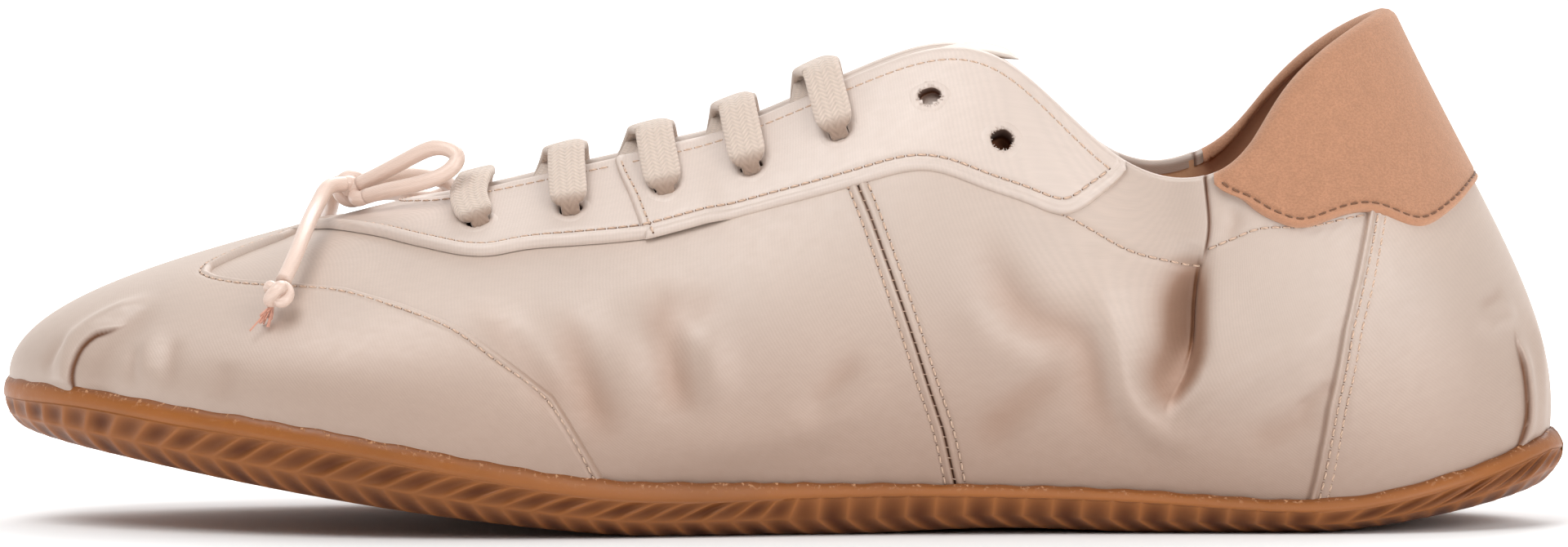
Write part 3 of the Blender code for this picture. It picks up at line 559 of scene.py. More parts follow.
def cup_floor(x):
    """Height of the seat inside the sole's rim."""
    top, bottom = feather_height(x), sole_underside(x)
    return top - CUP_SHARE * (top - bottom)


# -------- folds
def nearest_on(points, line):
    """Distance from each point to a polyline, and how far along it the nearest spot is."""
    ways = np.diff(line, axis=0)
    lengths = np.linalg.norm(ways, axis=1)
    starts = run_length(line)
    best = np.full(points.shape[:-1], np.inf)
    run = np.zeros_like(best)
    for start, way, long, begun in zip(line, ways, lengths, starts):
        on = np.clip((points - start) @ way / long**2, 0, 1)
        gap = np.linalg.norm(points - start - on[..., None] * way, axis=-1)
        run = np.where(gap < best, begun + on * long, run)
        best = np.minimum(gap, best)
    return best, run


def fold_parts(around, points, folds):
    """For each fold near some of the points: which points, the fold, their distances from its
    line, which of them lie on its heel side, and its share of full height there.

    It fades at both ends over FOLD_FADE of its length, except where the line starts at the
    feather line or ends at the edge.
    """
    around = np.broadcast_to(np.mod(around, 1.0), points.shape[:-1])
    for fold in folds:
        line = resampled(fold.line, 13)
        reach = 3 * max(fold.to_toe, fold.to_heel)
        for medial in (False, True):
            spots = surface(1 - line[:, 0] if medial else line[:, 0], line[:, 1])
            near = (around > 0.5) == medial
            near &= (points > spots.min(axis=0) - reach).all(axis=-1)
            near &= (points < spots.max(axis=0) + reach).all(axis=-1)
            if not near.any():
                continue
            gap, run = nearest_on(points[near], spots)
            starts = run_length(spots)
            share = run / starts[-1]
            heelward = np.minimum(around[near], 1 - around[near]) > np.interp(
                run, starts, line[:, 0])
            fade = np.full(gap.shape, MEDIAL_FOLDS if medial else 1.0)
            if line[0, 1] > 0.01:
                fade = fade * smooth(share, 0.0, FOLD_FADE)
            if line[-1, 1] < 0.99:
                fade = fade * smooth(1 - share, 0.0, FOLD_FADE)
            yield near, fold, gap, heelward, fade


def relief(around, points):
    """Height of the folds over the skin.

    Each fold adds height * exp(-(d / reach)^2), where d is the distance from its line and
    reach differs on its toe and heel side.
    """
    total = np.zeros(points.shape[:-1])
    for near, fold, gap, heelward, fade in fold_parts(around, points, FOLDS):
        reach = np.where(heelward, fold.to_heel, fold.to_toe)
        total[near] += fold.height * bell(gap, 0.0, reach) * fade
    return total * sizes().folds


def painted_shade(around, points):
    """How much painted shade falls at the foot of each sharp fold: a bell at the bottom of its
    steep side, 0.4 mm wide away from the fold and 0.2 mm wide towards it."""
    total = np.zeros(points.shape[:-1])
    sharp = [fold for fold in FOLDS if min(fold.to_toe, fold.to_heel) < SHARP]
    for near, fold, gap, heelward, fade in fold_parts(around, points, sharp):
        steep = heelward == (fold.to_heel < fold.to_toe)
        past_foot = np.where(steep, gap, -gap) - (0.35 if fold.height > 0 else -0.30)
        total[near] += bell(past_foot, 0.0, np.where(past_foot > 0, 0.40, 0.20)) * fade
    return np.clip(total, 0, 1)


def dip(around, up, points):
    """How far the satin falls back from the light: full at the bottom of a fold as deep as
    DIP_FULL, and in part low on the side, as LOW_SHADE says, fading out half way up."""
    around = np.mod(around, 1.0)
    valley = -relief(around, points) / DIP_FULL
    low = np.interp(np.minimum(around, 1 - around), *LOW_SHADE.T)
    return np.clip(np.clip(valley, 0, 1) + low * (1 - smooth(up, 0.0, 0.55)), 0, 1)


def shell(around, up, past=0.0, lift=0.0):
    """A point on the sewn upper: skin moved out by the folds, then raised by lift.

    Below up = 0 it drops straight down. past is how far it goes on over the edge of throat
    and collar: half way round a circle of radius EDGE_ROUND + lift, then down the inside.
    """
    around, up, past, lift = np.broadcast_arrays(*(np.asarray(value, float) for value in
                                                   (around, up, past, lift)))
    base, normal, rise = skin_frame(around, np.clip(up, 0, 1))
    folded = relief(around, base) * smooth(up, -0.02, 0.03)
    base = base + normal * (folded - EDGE_ROUND)[..., None]
    base = base + UP_AXIS * (np.minimum(up, 0) * SKIRT)[..., None]
    sunk = (EDGE_ROUND + np.clip(lift, 0, None)) * smooth(up, 0.80, 1.0)
    base = base - rise * sunk[..., None]
    turn = np.clip(past / EDGE_ROUND, 0, math.pi)[..., None]
    beyond = np.clip(past - math.pi * EDGE_ROUND, 0, None)[..., None]
    way = normal * np.cos(turn) + rise * np.sin(turn)
    return base + way * (EDGE_ROUND + lift)[..., None] - rise * beyond


UV_COLUMNS, UV_ROWS = 240, 24
UV_HEIGHTS = np.linspace(0, 1, UV_ROWS + 1)


def cloth_lengths():
    """Table of millimetres along each row and up each rib, for laying out the weave."""
    points = surface(np.linspace(0, 1, UV_COLUMNS + 1)[None, :], UV_HEIGHTS[:, None])
    along = np.linalg.norm(np.diff(points, axis=1), axis=-1)
    rise = np.linalg.norm(np.diff(points, axis=0), axis=-1)
    return (np.pad(np.cumsum(along, axis=1), ((0, 0), (1, 0))),
            np.pad(np.cumsum(rise, axis=0), ((1, 0), (0, 0))))


ALONG_ROWS, UP_RIBS = cloth_lengths()
GIRTH = ALONG_ROWS[0, -1]  # length of the feather line, which turns around into millimetres


def cloth_uv(around, up, past=0.0):
    """Metres along the row and up the rib, read from the tables between their four nearest."""
    around, up, past = np.broadcast_arrays(around, up, past)
    column = np.clip(around, -0.5, 1.5) * UV_COLUMNS
    turns = np.floor(column / UV_COLUMNS)
    column = column - turns * UV_COLUMNS
    row = np.clip(up, 0, 1) * UV_ROWS
    left = np.minimum(column.astype(int), UV_COLUMNS - 1)
    low = np.minimum(row.astype(int), UV_ROWS - 1)
    across, above = column - left, row - low
    values = []
    for table in (ALONG_ROWS, UP_RIBS):
        lower = table[low, left] * (1 - across) + table[low, left + 1] * across
        upper = table[low + 1, left] * (1 - across) + table[low + 1, left + 1] * across
        values.append(lower * (1 - above) + upper * above)
    values[0] = values[0] + turns * np.interp(up, UV_HEIGHTS, ALONG_ROWS[:, -1])
    values[1] = values[1] + past + np.minimum(up, 0) * SKIRT
    return np.stack(values, axis=-1) * MM


# -------- meshes
class Patch:
    """A grid of points with its texture coordinates, and what joins or is left out of it."""

    def __init__(self, points, uv, closed=False, flip=False, keep=None, **marks):
        self.points = points
        self.uv = uv
        self.closed = closed
        self.flip = flip
        self.keep = keep
        self.marks = marks

    def corners(self):
        """Four vertex numbers and four uv pairs for each quad."""
        rows, columns = self.points.shape[:2]
        row = np.arange(rows - 1)[:, None]
        column = np.arange(columns if self.closed else columns - 1)
        beside = (column + 1) % columns
        below, above = row * columns, (row + 1) * columns
        quads = np.stack([below + column, below + beside, above + beside, above + column], -1)
        after = column + 1
        uvs = np.stack([self.uv[row, column], self.uv[row, after], self.uv[row + 1, after],
                        self.uv[row + 1, column]], axis=-2)
        if self.keep is not None:
            return self.turned(quads[self.keep], uvs[self.keep])
        return self.turned(quads.reshape(-1, 4), uvs.reshape(-1, 4, 2))

    def turned(self, quads, uvs):
        """The faces turned round where the patch asks for it."""
        return (quads[:, ::-1], uvs[:, ::-1]) if self.flip else (quads, uvs)


def build(name, patches, finish, slot, *nodes):
    """One piece from patches, standing for the CAD nodes named."""
    corners, uvs, points = [], [], []
    marks = {mark: [] for patch in patches for mark in patch.marks}
    count = 0
    for patch in patches:
        quads, pairs = patch.corners()
        corners.append(quads + count)
        uvs.append(pairs)
        flat = patch.points.reshape(-1, 3)
        points.append(flat)
        count += len(flat)
        for mark, values in marks.items():
            given = patch.marks.get(mark, 0.0)
            values.append(np.broadcast_to(given, patch.points.shape[:2]).ravel())
    corners = np.concatenate(corners).astype(np.int32)
    mesh = bpy.data.meshes.new(name)
    mesh.vertices.add(count)
    mesh.vertices.foreach_set("co", (np.concatenate(points) * MM).astype(np.float32).ravel())
    mesh.loops.add(corners.size)
    mesh.loops.foreach_set("vertex_index", corners.ravel())
    mesh.polygons.add(len(corners))
    mesh.polygons.foreach_set("loop_start", np.arange(0, corners.size, 4, dtype=np.int32))
    mesh.update(calc_edges=True)
    mesh.shade_smooth()
    layer = mesh.uv_layers.new(name="UVMap")
    layer.uv.foreach_set("vector", np.concatenate(uvs).astype(np.float32).ravel())
    for mark, values in marks.items():
        attribute = mesh.attributes.new(mark, "FLOAT", "POINT")
        attribute.data.foreach_set("value", np.concatenate(values).astype(np.float32))
    mesh.validate()
    piece = bpy.data.objects.new(name, mesh)
    bpy.context.scene.collection.objects.link(piece)
    piece.data.materials.append(finish)
    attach(piece, ROOT)
    if nodes:
        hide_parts(*nodes)
    return piece


def uv_pairs(across, along):
    """Texture coordinates from two arrays that broadcast together."""
    return np.stack(np.broadcast_arrays(across, along), axis=-1)


def once_more(grid, turn=0.0):
    """A closed grid's values with its first column again at the end, raised by turn."""
    return np.concatenate([grid, grid[:, :1] + turn], axis=1)


def spaced(total, first, step):
    """Shares from 0 to 1 over a length: steps that grow by a fifth from first up to step."""
    lead = [0.0]
    while first < step:
        lead.append(lead[-1] + first)
        first *= 1.2
    lead = np.array(lead)
    lead = lead[lead < total / 2.5]
    rest = total - 2 * lead[-1]
    middle = lead[-1] + np.linspace(0, rest, max(2, round(rest / step)) + 1)[1:-1]
    return np.concatenate([lead, middle, (total - lead)[::-1]]) / total


def holes(points, around, radius):
    """Which quads of a grid lie clear of the eyelets."""
    middle = (points[:-1, :-1] + points[1:, :-1] + points[:-1, 1:] + points[1:, 1:]) / 4
    side = (around[:-1, :-1] + around[1:, 1:]) / 2
    clear = np.ones(middle.shape[:2], bool)
    for spot, height in EYELETS:
        for at in (spot, 1 - spot, -spot):
            centre = surface(at, height)
            gap = np.linalg.norm(middle - centre, axis=-1)
            clear &= (gap > radius) | (np.abs(side - at) > 0.1)
    return clear


# -------- overlays
# millimetres in from an outline, and over the edge of the opening, where a panel has rows
EDGE_STEPS = np.array((0.0, 0.05, 0.15, 0.3, 0.5, 0.75, 1.05, 1.35, 1.7, 2.05, 2.4, 2.75,
                       3.2, 3.8))
WRAP_STEPS = np.array((0.3, 0.7, 1.1, 1.5, 1.9, 2.3, 2.7, 3.1, 4.2))
PANEL_ROWS = 34
FAR = 99.0            # stands for the distance to an end that isn't free


def turned_edge(distance, thick):
    """A folded edge: a quarter round up to thick, a soft swelling and the dip of its stitches."""
    share = np.clip(distance / (1.15 * thick), 0, 1)
    round_up = (thick + 0.15) * np.sqrt(1 - (1 - share) ** 2) - 0.15
    return round_up + 0.12 * bell(distance, 0.9, 0.5) - 0.26 * bell(distance, 1.45, 0.3)


def piped_edge(distance, thick):
    """A half-round roll 2.4 mm wide along the edge, a dip with stitches, then thick."""
    roll = 1.55 * np.sqrt(np.clip(1 - ((distance - 1.2) / 1.22) ** 2, 0, 1))
    flat = thick * smooth(distance, 1.6, 3.0) - 0.2 * bell(distance, 2.7, 0.4)
    return np.maximum(roll, flat) - 0.15 * (distance < 0.02)


def column_shares(length, step):
    """Shares from 0 to 1 over a length, in the small steps of EDGE_STEPS at the start."""
    count = int((length - EDGE_STEPS[-1]) / step)
    rest = np.linspace(EDGE_STEPS[-1], length, count + 1)[1:]
    return np.concatenate([EDGE_STEPS, rest]) / length


def overlay(foot, top, rows, height, ends=(False, False), hole=None):
    """A sewn-on panel between two outlines of (around, up), one column for each pair, and on
    over the edge of the opening.

    Its height is a function of the distances to the foot outline and to its first and last
    column, where ends says which of those two are free. hole is the radius of its eyelets.
    """
    span = np.linalg.norm(surface(*foot.T) - surface(*top.T), axis=-1) + 0.01
    near = EDGE_STEPS[:, None] * np.minimum(1, 0.6 * span / EDGE_STEPS[-1]) / span
    rest = np.linspace(0, 1, rows + 1)[1:, None]
    share = np.vstack([near, near[-1] + (1 - near[-1]) * rest])[..., None]
    spots = foot * (1 - share) + top * share
    past = np.zeros(spots.shape[:2])
    spots = np.concatenate([spots, np.repeat(spots[-1:], len(WRAP_STEPS), axis=0)])
    past = np.vstack([past, np.repeat(WRAP_STEPS[:, None], len(foot), axis=1)])
    around, up = spots[..., 0], spots[..., 1]
    flat = surface(around, up)
    distances = [nearest_on(flat, surface(*foot.T))[0]]
    for column, free in zip((0, -1), ends):
        line = flat[:len(share), column]
        distances.append(nearest_on(flat, line)[0] if free else np.full(past.shape, FAR))
    # inside the shoe its end lies down on the lining
    lift = height(*distances) * (1 - 0.9 * smooth(past, 2.6, 4.2))
    points = shell(around, up, past, lift)
    keep = holes(points, around, hole) if hole else None
    return Patch(points, cloth_uv(around, up, past), keep=keep,
                 edge=np.minimum.reduce(distances))


def mirrored(line):
    """A lateral line of (around, up) on the medial side."""
    return line * (-1, 1) + (1, 0)


def other_side(table):
    """A lateral outline on the medial side, its columns in the reverse order."""
    return mirrored(table[::-1])


def opening_line(around):
    """The edge of the opening at these values of around."""
    return np.column_stack([around, np.ones(len(around))])


def both_sides(table):
    """A lateral half outline that starts at the toe, with its medial half before it."""
    return np.vstack([table[:0:-1] * (-1, 1), table])


def steps_on_skin(around, up, move):
    """Changes of around and up that go the way of move, which lies along the skin.

    With A and U the skin's slopes by around and up, they solve A da + U du = move.
    """
    by_around = (surface(around + SMALL, up) - surface(around - SMALL, up)) / (2 * SMALL)
    by_up = (surface(around, up + SMALL) - surface(around, up - SMALL)) / (2 * SMALL)
    aa, au = (by_around**2).sum(-1), (by_around * by_up).sum(-1)
    uu, ma = (by_up**2).sum(-1), (move * by_around).sum(-1)
    mu = (move * by_up).sum(-1)
    scale = aa * uu - au * au
    return (ma * uu - au * mu) / scale, (aa * mu - au * ma) / scale


def offset_line(line, distance):
    """A line of (around, up) moved sideways on the skin, to the right of its way seen from
    outside for a positive distance."""
    around, up = line.T
    _, normal, _ = skin_frame(around, up)
    way = unit(np.gradient(surface(around, up), axis=0))
    step_around, step_up = steps_on_skin(around, up, np.cross(way, normal) * distance)
    return np.column_stack([around + step_around, up + step_up])


# -------- materials
class Shader:
    """A node material under way, with short calls to add and wire its nodes."""

    def __init__(self, name, **sockets):
        self.material = bpy.data.materials.new(name)
        self.material.use_nodes = True
        self.tree = self.material.node_tree
        self.main = self.tree.nodes["Principled BSDF"]
        for socket, value in sockets.items():
            self.main.inputs[socket.replace("_", " ")].default_value = value

    def node(self, kind, sockets=(), **settings):
        """A node of a kind, its sockets linked or set, and its own settings."""
        made = self.tree.nodes.new(kind)
        for name, value in settings.items():
            setattr(made, name, value)
        for name, value in dict(sockets).items():
            if isinstance(value, bpy.types.NodeSocket):
                self.tree.links.new(value, made.inputs[name])
            else:
                made.inputs[name].default_value = value
        return made

    def place(self, kind="Object", scale=(1, 1, 1), turn=0.0):
        """Coordinates of a kind, scaled and turned about Z."""
        coordinates = self.node("ShaderNodeTexCoord").outputs[kind]
        mapping = self.node("ShaderNodeMapping", {"Vector": coordinates, "Scale": scale,
                                                  "Rotation": (0, 0, turn)})
        return mapping.outputs[0]

    def noise(self, vector, scale, detail=3.0, roughness=0.55):
        """Cloudy noise from 0 to 1."""
        return self.node("ShaderNodeTexNoise", {"Vector": vector, "Scale": scale,
                                                "Detail": detail, "Roughness": roughness}
                         ).outputs["Fac"]

    def wave(self, vector, scale, distortion=0.0, detail=0.0):
        """Even stripes along X, from 0 to 1."""
        return self.node("ShaderNodeTexWave", {"Vector": vector, "Scale": scale,
                                               "Distortion": distortion, "Detail": detail}
                         ).outputs["Fac"]

    def math(self, operation, a, b=0.5, clamp=False):
        """One step of arithmetic on one or two values."""
        return self.node("ShaderNodeMath", {0: a, 1: b}, operation=operation,
                         use_clamp=clamp).outputs[0]

    def span(self, value, low, high, to_low=0.0, to_high=1.0):
        """A value from low to high laid out from to_low to to_high."""
        return self.node("ShaderNodeMapRange", {"Value": value, "From Min": low,
                                                "From Max": high, "To Min": to_low,
                                                "To Max": to_high}).outputs[0]

    def mix(self, share, first, second):
        """A share of the second colour in the first."""
        made = self.node("ShaderNodeMix", data_type="RGBA")
        for socket, value in zip((0, 6, 7), (share, first, second)):
            if isinstance(value, bpy.types.NodeSocket):
                self.tree.links.new(value, made.inputs[socket])
            else:
                made.inputs[socket].default_value = value
        return made.outputs[2]

    def mark(self, name):
        """A value that the patches give their points."""
        return self.node("ShaderNodeAttribute", attribute_name=name).outputs["Fac"]

    def bump(self, height, strength, distance, normal=None):
        """A normal bent by a height, distance in millimetres."""
        sockets = {"Height": height, "Strength": strength, "Distance": distance * MM}
        if normal:
            sockets["Normal"] = normal
        return self.node("ShaderNodeBump", sockets).outputs[0]

    def finish(self, **links):
        """Links the main shader's sockets and hands back the material."""
        for socket, value in links.items():
            self.tree.links.new(value, self.main.inputs[socket.replace("_", " ")])
        return self.material


def tone(value, factor=1.0):
    """A colour for a socket, made darker or lighter by factor."""
    return (*(min(1.0, part * factor) for part in value), 1.0)


# painted shade colour for the foot of sharp folds, seam grooves and eyelet holes
CREASE_SHADE = (0.15, 0.065, 0.035)
DIP_SHADE = (0.66, 0.48, 0.36)    # painted shade: the share of the satin's colour left at the bottom of a dip
GLUE_DUST = (0.50, 0.25, 0.12)
# painted shade for a thread where it goes into its needle hole
NEEDLE_HOLE_SHADE = (0.13, 0.065, 0.035)
LACE_SHADE = (0.22, 0.13, 0.085)
FRAYED = (0.62, 0.29, 0.20)
BROWN_THREAD = (0.17, 0.070, 0.030)
PLAIT_WIDTH = 0.00112          # metres: the lace's plaits turn round at every such step across it
PLAIT_PITCH = 0.00085


def satin(name, value, warm=0.9):
    """Satin cloth: fine diagonal threads, faint slubs, and painted shade, darker and warmer, in
    its dips and creases.
    """
    cloth = Shader(name, Roughness=0.56, Sheen_Weight=0.2, Sheen_Roughness=0.4, IOR=1.85,
                   Specular_IOR_Level=1.0, Sheen_Tint=tone((1.0, 0.93, 0.87)))
    weave = cloth.wave(cloth.place("UV", turn=math.radians(-60)), 930.0, 2.2, 2.0)
    cross = cloth.noise(cloth.place("UV"), 3200.0, 2.0)
    threads = cloth.math("ADD", cloth.math("MULTIPLY", weave, 0.5),
                         cloth.math("MULTIPLY", cross, 0.5))
    slubs = cloth.noise(cloth.place("UV", scale=(1, 1.6, 1)), 420.0, 4.0)
    cloudy = cloth.noise(cloth.place(), 34.0, 3.0)
    shade = cloth.mix(cloth.span(cloudy, 0.3, 0.7), tone(value, warm), tone(value, 1.04))
    shade = cloth.mix(cloth.span(slubs, 0.35, 0.75, 0.0, 0.35), shade, tone(value, 0.88))
    shade = cloth.mix(cloth.span(threads, 0.1, 0.9, 0.26, 0.0), shade, tone(value, 0.70))
    # painted shade: darker and warmer in the valleys of the folds and low on the sides
    shade = cloth.mix(cloth.mark("dip"), shade, tone(np.multiply(value, DIP_SHADE)))
    # painted shade at the foot of sharp folds, in the seam grooves and inside eyelet holes
    shade = cloth.mix(cloth.mark("painted_shade"), shade, tone(CREASE_SHADE))
    gloss = cloth.span(slubs, 0.3, 0.7, 0.52, 0.60)
    normal = cloth.bump(slubs, 0.2, 0.1)
    normal = cloth.bump(threads, 0.25, 0.06, normal)
    # in a dip the gloss is the cloth's own colour, thrown from one side of it to the other
    inner = cloth.math("ADD", cloth.math("MULTIPLY", cloth.mark("dip"), 0.45),
                       cloth.mark("painted_shade"), True)
    return cloth.finish(Base_Color=shade, Metallic=inner, Roughness=gloss, Normal=normal)


def gum_rubber():
    """Gum rubber: painted shade in the hollows of the ribs and on the underside, dusty and rough
    at the glue line.
    """
    light, dark = colours().gum, colours().gum_dark
    rubber = Shader("gum rubber", Roughness=0.4, Specular_IOR_Level=0.5,
                    Subsurface_Weight=0.06, Subsurface_Scale=0.002,
                    Subsurface_Radius=(1.0, 0.4, 0.15))
    grain = rubber.noise(rubber.place(), 420.0, 6.0, 0.65)
    cloudy = rubber.noise(rubber.place(), 45.0, 3.0)
    hollow = rubber.mark("hollow")
    shade = rubber.mix(rubber.span(cloudy, 0.3, 0.7), tone(light, 0.88), tone(light, 1.08))
    # painted shade in the hollows of the ribs and on the underside
    shade = rubber.mix(hollow, shade, tone(dark))
    shade = rubber.mix(rubber.math("MULTIPLY", rubber.mark("glue"), 0.55), shade, tone(dark))
    dots = rubber.noise(rubber.place(), 1100.0, 3.0, 0.6)
    speckle = rubber.math("MULTIPLY", rubber.span(dots, 0.57, 0.66), rubber.mark("glue"))
    shade = rubber.mix(speckle, shade, tone(GLUE_DUST))
    gloss = rubber.span(grain, 0.3, 0.7, 0.36, 0.52)
    rough = rubber.math("ADD", grain, rubber.math("MULTIPLY", speckle, 1.5))
    # the hollows show the amber inside of the rubber, not the white of the room
    inner = rubber.math("MULTIPLY", hollow, 0.5)
    return rubber.finish(Base_Color=shade, Metallic=inner, Roughness=gloss,
                         Normal=rubber.bump(rough, 0.45, 0.15))


def suede():
    """Suede: a short nap that lies in patches, with a painted highlight along its rolled edge."""
    value = colours().suede
    nap = Shader("suede", Roughness=0.92, Sheen_Weight=0.35, Sheen_Roughness=0.5,
                 Specular_IOR_Level=0.2, Sheen_Tint=tone((1.0, 0.86, 0.74)))
    fibres = nap.noise(nap.place(scale=(1, 1, 1.4)), 2400.0, 4.0, 0.7)
    patches = nap.noise(nap.place(), 420.0, 4.0, 0.6)
    shade = nap.mix(nap.span(patches, 0.3, 0.7), tone(value, 0.95), tone(value, 1.06))
    shade = nap.mix(nap.span(fibres, 0.40, 0.60, 0.45, 0.0), shade, tone(value, 0.6))
    # painted highlight: paler within 1.4 mm of the rolled lower edge
    roll_highlight = nap.span(nap.mark("edge"), 0.2, 1.4, 0.55, 0.0)
    shade = nap.mix(roll_highlight, shade, tone(value, 1.25))
    rough = nap.math("ADD", nap.math("MULTIPLY", patches, 0.5), fibres)
    return nap.finish(Base_Color=shade, Normal=nap.bump(rough, 0.8, 0.2))


def leather(name, value):
    """Lining leather with a fine pebble and faint stains."""
    hide = Shader(name, Roughness=0.62, Specular_IOR_Level=0.35)
    pores = hide.node("ShaderNodeTexVoronoi", {"Vector": hide.place(), "Scale": 1500.0}
                      ).outputs["Distance"]
    stains = hide.noise(hide.place(), 60.0, 5.0)
    shade = hide.mix(hide.span(stains, 0.3, 0.7), tone(value, 0.85), tone(value, 1.08))
    shade = hide.mix(hide.span(pores, 0.0, 0.35, 0.3, 0.0), shade, tone(value, 0.66))
    shade = hide.mix(hide.mark("collar"), shade, tone(colours().suede, 0.9))
    return hide.finish(Base_Color=shade, Normal=hide.bump(pores, 0.3, 0.1))


def braided_cotton():
    """Flat braid: two slants of plaits that meet in the middle of the lace."""
    value = colours().cotton
    braid = Shader("braided cotton", Roughness=0.88, Sheen_Weight=0.3, Sheen_Roughness=0.5,
                   Specular_IOR_Level=0.2)
    place = braid.node("ShaderNodeSeparateXYZ", {0: braid.place("UV")})
    across = braid.math("PINGPONG", place.outputs[0], PLAIT_WIDTH)
    slant = braid.math("ADD", braid.math("MULTIPLY", across, 0.95), place.outputs[1])
    plait = braid.math("SINE", braid.math("MULTIPLY", slant, 2 * math.pi / PLAIT_PITCH), 0.0)
    lane = braid.math("COSINE", braid.math("MULTIPLY", across, 2 * math.pi / PLAIT_WIDTH), 0.0)
    plaits = braid.math("ADD", braid.math("MULTIPLY", plait, 0.30),
                        braid.math("MULTIPLY", lane, -0.16))
    fuzz = braid.noise(braid.place(), 1700.0, 5.0, 0.7)
    height = braid.math("ADD", plaits, braid.math("MULTIPLY", fuzz, 0.7))
    shade = braid.mix(braid.span(height, -0.2, 0.75, 0.5, 0.0), tone(value),
                      tone(value, 0.62))
    # painted shade where the lace gathers into an eyelet
    shade = braid.mix(braid.math("MULTIPLY", braid.mark("deep"), 0.75), shade,
                      tone(LACE_SHADE))
    return braid.finish(Base_Color=shade, Normal=braid.bump(height, 0.7, 0.22))


def thread(name, value):
    """Twisted sewing thread, with painted shade where it goes down into its holes."""
    twist = Shader(name, Roughness=0.55, Specular_IOR_Level=0.4, Sheen_Weight=0.2)
    strands = twist.wave(twist.place("UV", turn=math.radians(35)), 0.9)
    shade = twist.mix(strands, tone(value, 0.75), tone(value, 1.2))
    # painted shade where the thread goes down into its holes
    shade = twist.mix(twist.mark("deep"), shade, tone(NEEDLE_HOLE_SHADE))
    return twist.finish(Base_Color=shade, Normal=twist.bump(strands, 0.4, 0.08))


def twilled_cord():
    """Satin cord with the fine slant of its covering."""
    value = colours().cord
    cord = Shader("satin cord", Roughness=0.36, Sheen_Weight=0.2, Sheen_Roughness=0.35,
                  Specular_IOR_Level=0.9)
    twill = cord.wave(cord.place("UV", turn=math.radians(40)), 900.0, 1.2, 2.0)
    streaks = cord.noise(cord.place("UV", scale=(9, 1, 1)), 320.0, 4.0)
    shade = cord.mix(cord.span(twill, 0.0, 1.0, 0.16, 0.0), tone(value), tone(value, 0.68))
    shade = cord.mix(cord.span(streaks, 0.4, 0.7, 0.0, 0.4), shade, tone(value, 0.8))
    shade = cord.mix(cord.mark("fray"), shade, tone(FRAYED))
    normal = cord.bump(streaks, 0.3, 0.15)
    return cord.finish(Base_Color=shade, Normal=cord.bump(twill, 0.2, 0.06, normal))


# -------- sole and insole
def rib_shift(x, share):
    """How far the ribs run towards the heel at a share of the way down the ribbed side.

    They leave their apex at ARM_MEET: up and back in a long flat arm, down and back in a
    steeper one. The arms' reach changes from toe to heel.
    """
    at, upper, lower = RIB_ARMS.T
    climb = np.clip(1 - share / ARM_MEET, 0, 1)
    fall = np.clip((share - ARM_MEET) / (1 - ARM_MEET), 0, 1)
    return np.interp(x, at, upper) * climb + np.interp(x, at, lower) * fall


def rib_depth_down(x, share):
    """How deep the hollows are at a share of the way down, from 0 to 1: a lens on each arm, and
    at the waist, where a rib has its lower arm only, one lens all the way."""
    if share < ARM_MEET:
        two_arms = math.sin(math.pi * share / ARM_MEET) ** 0.7
    else:
        two_arms = math.sin(math.pi * (share - ARM_MEET) / (1 - ARM_MEET) * 0.96) ** 0.6
    one_arm = math.sin(math.pi * (share * 0.95 + 0.03)) ** 0.5
    waist = smooth(x, -8, 8) * (1 - smooth(x, 78, 92))
    return two_arms * (1 - waist) + one_arm * waist


def rib_depth_across(count, per_rib):
    """How deep each of the columns is, from 0 to 1: |sin|^0.8, which leaves a sharp crest, and
    differs from rib to rib."""
    column = np.arange(count)
    uneven = 0.88 + 0.12 * np.sin(2.4 * (column // per_rib))
    return uneven * np.abs(np.sin(math.pi * (column % per_rib / per_rib))) ** 0.8


